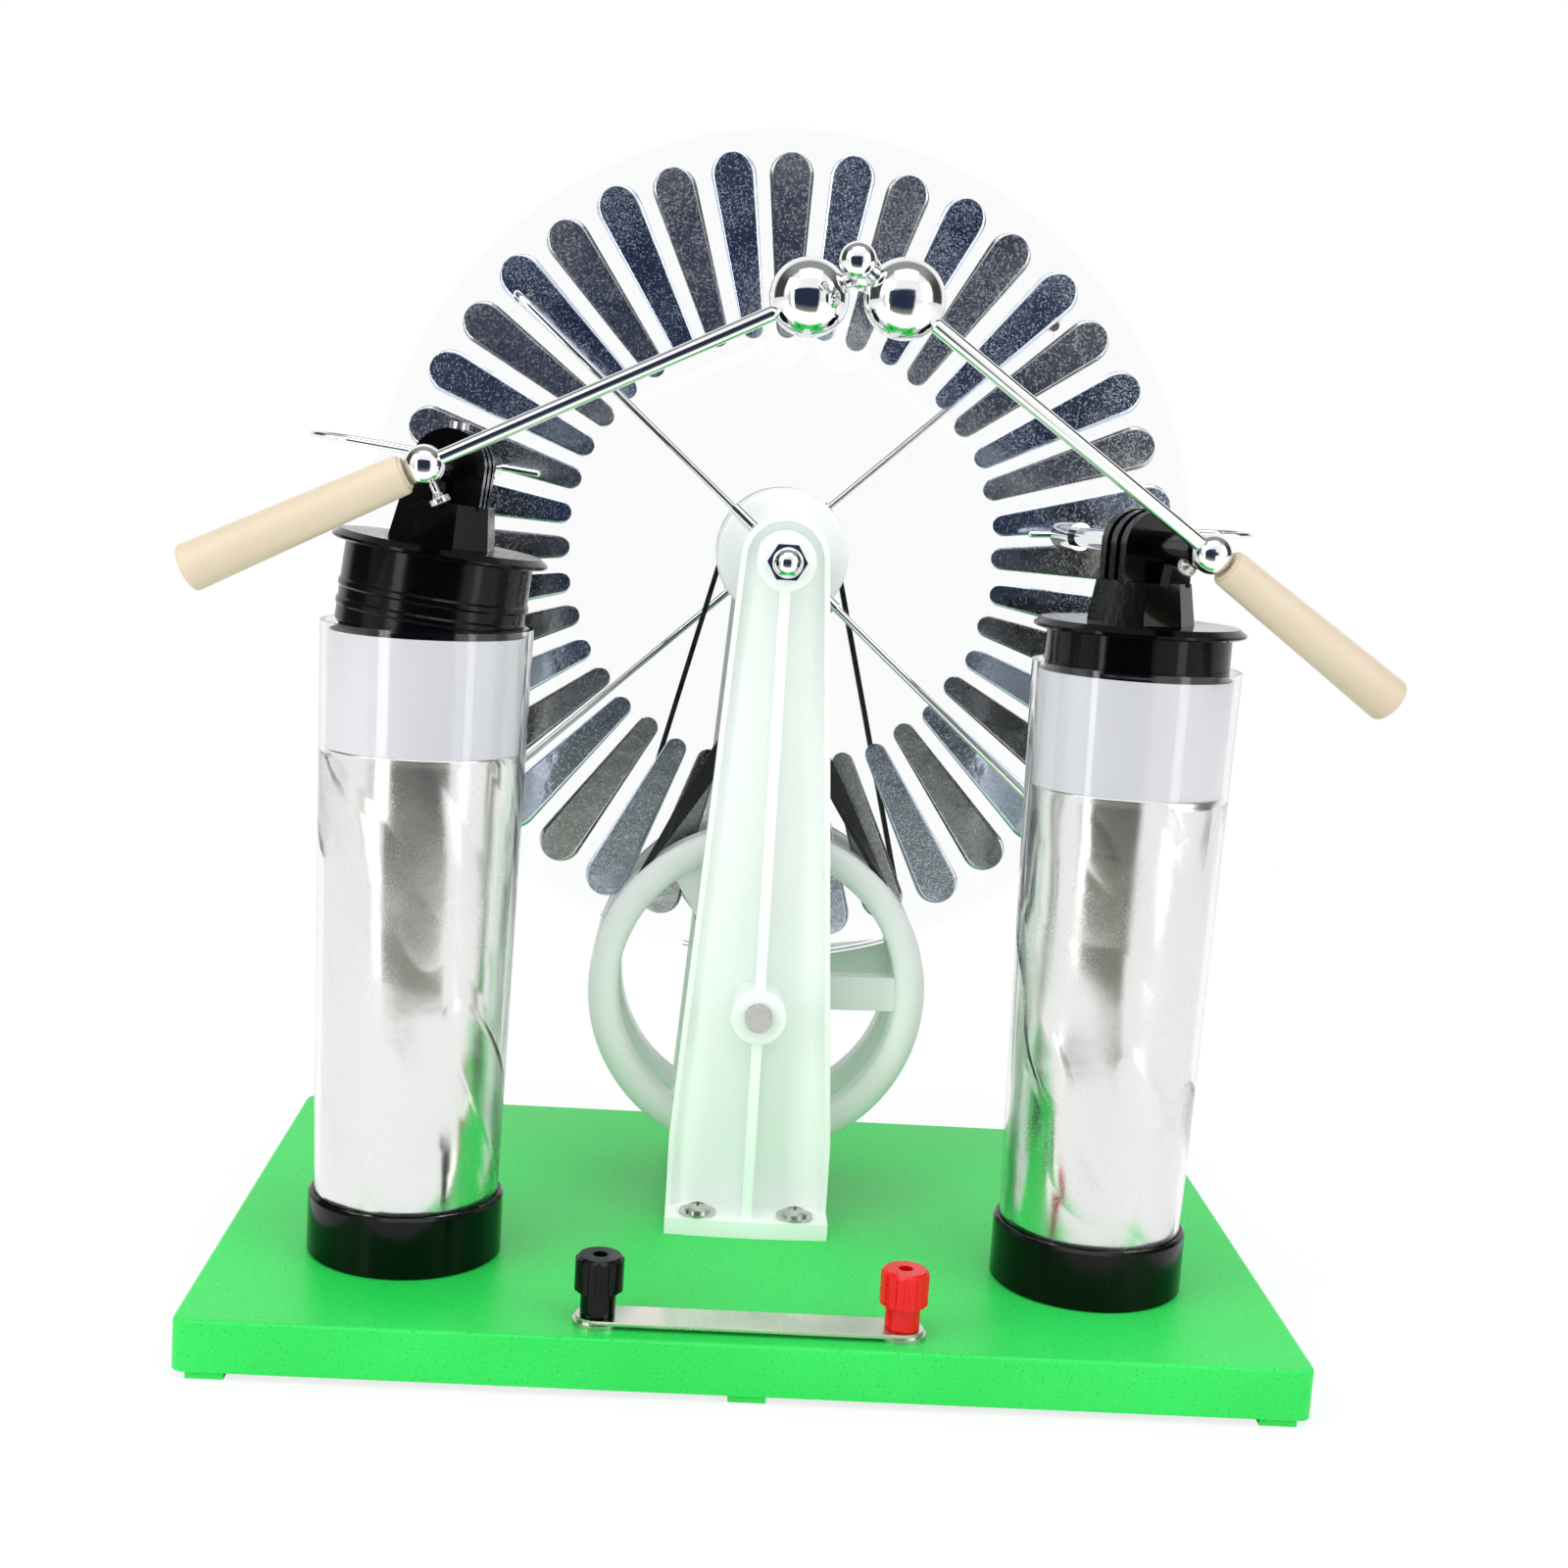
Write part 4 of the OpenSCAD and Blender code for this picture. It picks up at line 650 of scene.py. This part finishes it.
def petal(inner, outer, inner_radius, outer_radius, along=32, half=5):
    """Grid over a sector: rows run from its inner round end to its outer one, columns from side to side.

    Half width at distance d is sqrt(r^2 - (d - centre)^2) in the round ends and the tangent line between.
    """
    tilt = np.arcsin((outer_radius - inner_radius) / (outer - inner))
    first = inner - inner_radius * np.sin(tilt)
    last = outer - outer_radius * np.sin(tilt)
    start, stop = inner - inner_radius, outer + outer_radius
    d = start + (stop - start) * 0.5 * (1 - np.cos(np.linspace(0, np.pi, along)))
    side = (inner_radius + (d - inner) * np.sin(tilt)) / np.cos(tilt)
    ends = np.where(d < first, inner_radius ** 2 - (d - inner) ** 2, outer_radius ** 2 - (d - outer) ** 2)
    width = np.where((d < first) | (d > last), np.sqrt(np.clip(ends, 0, None)), side)
    across = np.linspace(-1, 1, half * 2 + 1)
    return np.stack([d[:, None] + 0 * across, width[:, None] * across], axis=-1)


def grid_rim(rows, columns):
    """Indices of the points on the rim of a grid, in their order round it."""
    index = np.arange(rows * columns).reshape(rows, columns)
    return np.concatenate([index[:, 0], index[-1, 1:], index[-2::-1, -1], index[0, -2:0:-1]])


sector_count = 20
glue_thickness, foil_top = 0.00002, 0.00013
front_foil = foil_finish("front_sector_foil", (0.56, 0.63, 0.76), (0.10, 0.17), (160.0, 0.0002),
                         fleck_share=0.42, fleck_depth=0.05, fleck_haze=0.13)
rear_foil = foil_finish("rear_sector_foil", (0.68, 0.70, 0.73), (0.13, 0.21), (190.0, 0.0002),
                        fleck_share=0.44, fleck_depth=0.045, fleck_haze=0.10)
flat = petal(inner=0.068, outer=0.1125, inner_radius=0.0034, outer_radius=0.0066)
rows, columns = flat.shape[:2]
count = rows * columns
top_faces = grid_faces(rows, columns, ring_columns=False)
rim = grid_rim(rows, columns)
next_on_rim = np.roll(rim, -1)
wall_faces = np.stack([rim, next_on_rim, next_on_rim + count, rim + count], axis=-1)
one_sector = np.concatenate([top_faces, top_faces[:, ::-1] + count, wall_faces])
faces = (one_sector[None] + (np.arange(sector_count) * 2 * count)[:, None, None]).reshape(-1, 4)
for side, phase, face_y, outwards, finish in (("front", -7.2, front_face, -1, front_foil),
                                              ("rear", 1.9, rear_face, 1, rear_foil)):
    sheets = []
    for step in range(sector_count):
        a = np.radians(phase + 360 / sector_count * step)
        x = flat[..., 0] * np.cos(a) - flat[..., 1] * np.sin(a)
        z = axle_z + flat[..., 0] * np.sin(a) + flat[..., 1] * np.cos(a)
        for lift in (glue_thickness, foil_top):
            sheets.append(np.stack([x, np.full_like(x, face_y + outwards * lift), z], axis=-1))
    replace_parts(make_piece(side + "_sector_foils", sheets, faces, finish, side + "_disc_set"),
                side + "_sectors")


# BELTS. Endless flat belts of black rubber, ground matt and slightly dusty where they run over the
# wheels. The rear one is open, and the front one crosses itself on its way up to its pulley.
rubber_finish = moulded_finish(
    "belt_rubber", tones=((0.010, 0.010, 0.010), (0.010, 0.010, 0.010)), speck=(0.05, 0.05, 0.048),
    speck_depth=0.5, speck_size=(900.0, 0.36), roughness=(0.5, 0.72), relief=(0.0001, 0.6),
    grain_scale=2200.0)
dress(rubber_finish, "front_belt", "rear_belt")


# BLACK STOPPERS, CUPS, KNOB AND POST CAPS. Glossy black phenolic mouldings with soft dust and light
# handling marks; the live post's cap is the same moulding in red.
def gloss_finish(name, colour, dusty, dust_share, roughness, shine):
    """Glossy moulding: colour with a thin dust in the mottled places and a roughness that follows it."""
    material, tree, shader = new_finish(name, colour, roughness[0], Specular_IOR_Level=shine)
    skin = place_group(tree, moulding, Grain_Scale=500.0, Speck_Scale=1500.0, Speck_Share=0.26)
    marks = place_group(tree, scratching, Scale=2600.0)
    dust = math_node(tree, "MULTIPLY", fade(tree, skin["Mottle"], 0.45, 0.8),
                     math_node(tree, "ADD", skin["Specks"], 0.15), clamp=True)
    join(tree, blend_colours(tree, math_node(tree, "MULTIPLY", dust, dust_share), (*colour, 1), (*dusty, 1)),
         shader.inputs["Base Color"])
    wander = fade(tree, skin["Mottle"], 0.3, 0.75, *roughness)
    join(tree, math_node(tree, "ADD", wander, math_node(tree, "MULTIPLY", marks["Scratches"], 0.16)),
         shader.inputs["Roughness"])
    raise_skin(tree, shader, skin["Height"], 0.00004, 0.35)
    return material


black_finish = gloss_finish("black_moulding", (0.0012, 0.0012, 0.0015), (0.02, 0.02, 0.02), 0.15,
                            roughness=(0.08, 0.18), shine=0.20)
red_finish = gloss_finish("red_moulding", (0.68, 0.002, 0.001), (0.6, 0.06, 0.05), 0.25,
                          roughness=(0.12, 0.26), shine=0.35)
dress(black_finish, "left_stopper", "right_stopper", "left_jar_foot", "right_jar_foot", "crank_knob",
      "black_post_cap")
dress(red_finish, "red_post_cap")


# HANDLES. Turned from ivory-coloured plastic, a little yellowed and satin from use, and pushed on to
# the end of each discharge rod.
ivory_finish = moulded_finish(
    "ivory_plastic", tones=((0.575, 0.482, 0.350), (0.630, 0.545, 0.418)), speck=(0.50, 0.40, 0.24),
    speck_depth=0.2, speck_size=(600.0, 0.25), roughness=(0.36, 0.5), relief=(0.00006, 0.5),
    grain_scale=900.0, Subsurface_Weight=0.15, Subsurface_Scale=0.004)
dress(ivory_finish, "left_handle", "right_handle")


# JARS. A clear tapered tube of moulded plastic stands in each foot cup, and in it a thin white beaker
# that carries the foil; its bare white upper end shows above the foil.
jar_finish = clear_finish("clear_jar_wall", (0.993, 0.995, 1.0), 1.42, 0.03)
dress(jar_finish, "left_jar_tube", "right_jar_tube")
liner_finish = moulded_finish(
    "white_beaker", tones=((0.92, 0.935, 0.985), (0.95, 0.96, 1.0)),
    roughness=(0.28, 0.42), relief=(0.00006, 0.4), grain_scale=500.0)
dress(liner_finish, "left_jar_liner", "right_jar_liner")
jar_foil = foil_finish("jar_foil", (0.84, 0.84, 0.82), (0.12, 0.24), (45.0, 0.0004),
                       fleck_share=0.30, fleck_depth=0.012, fleck_haze=0.12)
dress(jar_foil, "left_outer_foil", "right_outer_foil", "inner_foils")


# JAR FOIL. Thin aluminium foil rolled round each beaker and rubbed flat by hand, with an overlap at
# the back and a hem under the bottom, so its mirror image of the room runs in soft waves.
def tapered(z, low, high, low_radius, high_radius):
    """Radius of a cone at height z: low_radius + (high_radius - low_radius) (z - low) / (high - low)."""
    return low_radius + (high_radius - low_radius) * (z - low) / (high - low)


beaker_foot_radius, beaker_rim_radius, mean_radius = 0.0236, 0.0270, 0.026
foil_low, hem_radius, hem_thickness = 0.02225, 0.0200, 0.0001
foil_inside, foil_outside, lap_thickness = 0.00003, 0.00020, 0.00007
lap_angle, lap_half = 1.9, 0.12
wave_count, wave_height, wave_turns, wave_length = 26, 0.020, (1, 9), (0.028, 0.16)
crease_count, crease_width, crease_length = 34, 0.0006, (0.003, 0.013)
crease_lean, crease_depth, crease_clear = 0.7, 0.00003, (0.005, 0.004)
deepest, highest, edge_ease = -0.00012, 0.0006, 0.002
around, tall = 288, 260
# The hidden inner wall is a straight cone, so two rows of points at each of its rims are enough.
inner_rows = [-1, -2, 1, 0]
for side, seed in (("left", 7), ("right", 19)):
    low_corner, high_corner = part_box(side + "_jar_tube")
    jar_x, jar_y = (low_corner[0] + high_corner[0]) / 2, (low_corner[1] + high_corner[1]) / 2
    foil_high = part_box(side + "_outer_foil")[1][2]
    draw = np.random.default_rng(seed)
    angle = np.linspace(0, 2 * np.pi, around, endpoint=False)[None, :]
    z = np.linspace(foil_low, foil_high, tall)[:, None]
    wave = np.zeros((tall, around))
    for step in range(wave_count):
        turns = int(draw.integers(*wave_turns))
        length = draw.uniform(*wave_length)
        slope = 2 * np.pi / length
        wave += draw.normal(0, 1) * np.cos(turns * angle + slope * z + draw.uniform(0, 6.3)) / np.hypot(
            turns / mean_radius, slope)
    wave *= wave_height
    crease = np.zeros((tall, around))
    for step in range(crease_count):
        at_angle = draw.uniform(0, 2 * np.pi)
        at_z = draw.uniform(foil_low + crease_clear[0], foil_high - crease_clear[1])
        lean, half = draw.normal(0, crease_lean), draw.uniform(*crease_length)
        deep = draw.normal(0, crease_depth)
        arc = (np.mod(angle - at_angle + np.pi, 2 * np.pi) - np.pi) * mean_radius
        along = arc * np.cos(lean) + (z - at_z) * np.sin(lean)
        off = -arc * np.sin(lean) + (z - at_z) * np.cos(lean)
        crease += deep * np.exp(-(along / half) ** 2) * np.exp(-np.abs(off) / crease_width)
    lap = lap_thickness * (np.abs(np.mod(angle - lap_angle, 2 * np.pi) - lap_half) < lap_half)
    ease = np.clip(np.minimum(z - foil_low, foil_high - z) / edge_ease, 0, 1)
    beaker = tapered(z, low_corner[2], high_corner[2], beaker_foot_radius, beaker_rim_radius)
    outer = beaker + foil_outside + np.clip(wave + crease, deepest, highest) * ease + lap
    inner = beaker[inner_rows] + foil_inside + 0 * angle
    hem = np.full((1, around), hem_radius)
    radius = np.concatenate([hem, outer, inner, hem])
    height = np.concatenate([[[foil_low - hem_thickness]], z, z[inner_rows], [[foil_low]]]) + 0 * angle
    points = np.stack([jar_x + radius * np.cos(angle), jar_y + radius * np.sin(angle), height], -1)
    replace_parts(make_piece(side + "_foil_skin", points, grid_faces(len(radius), around, ring_rows=True),
                           jar_foil, "frame"), side + "_outer_foil")
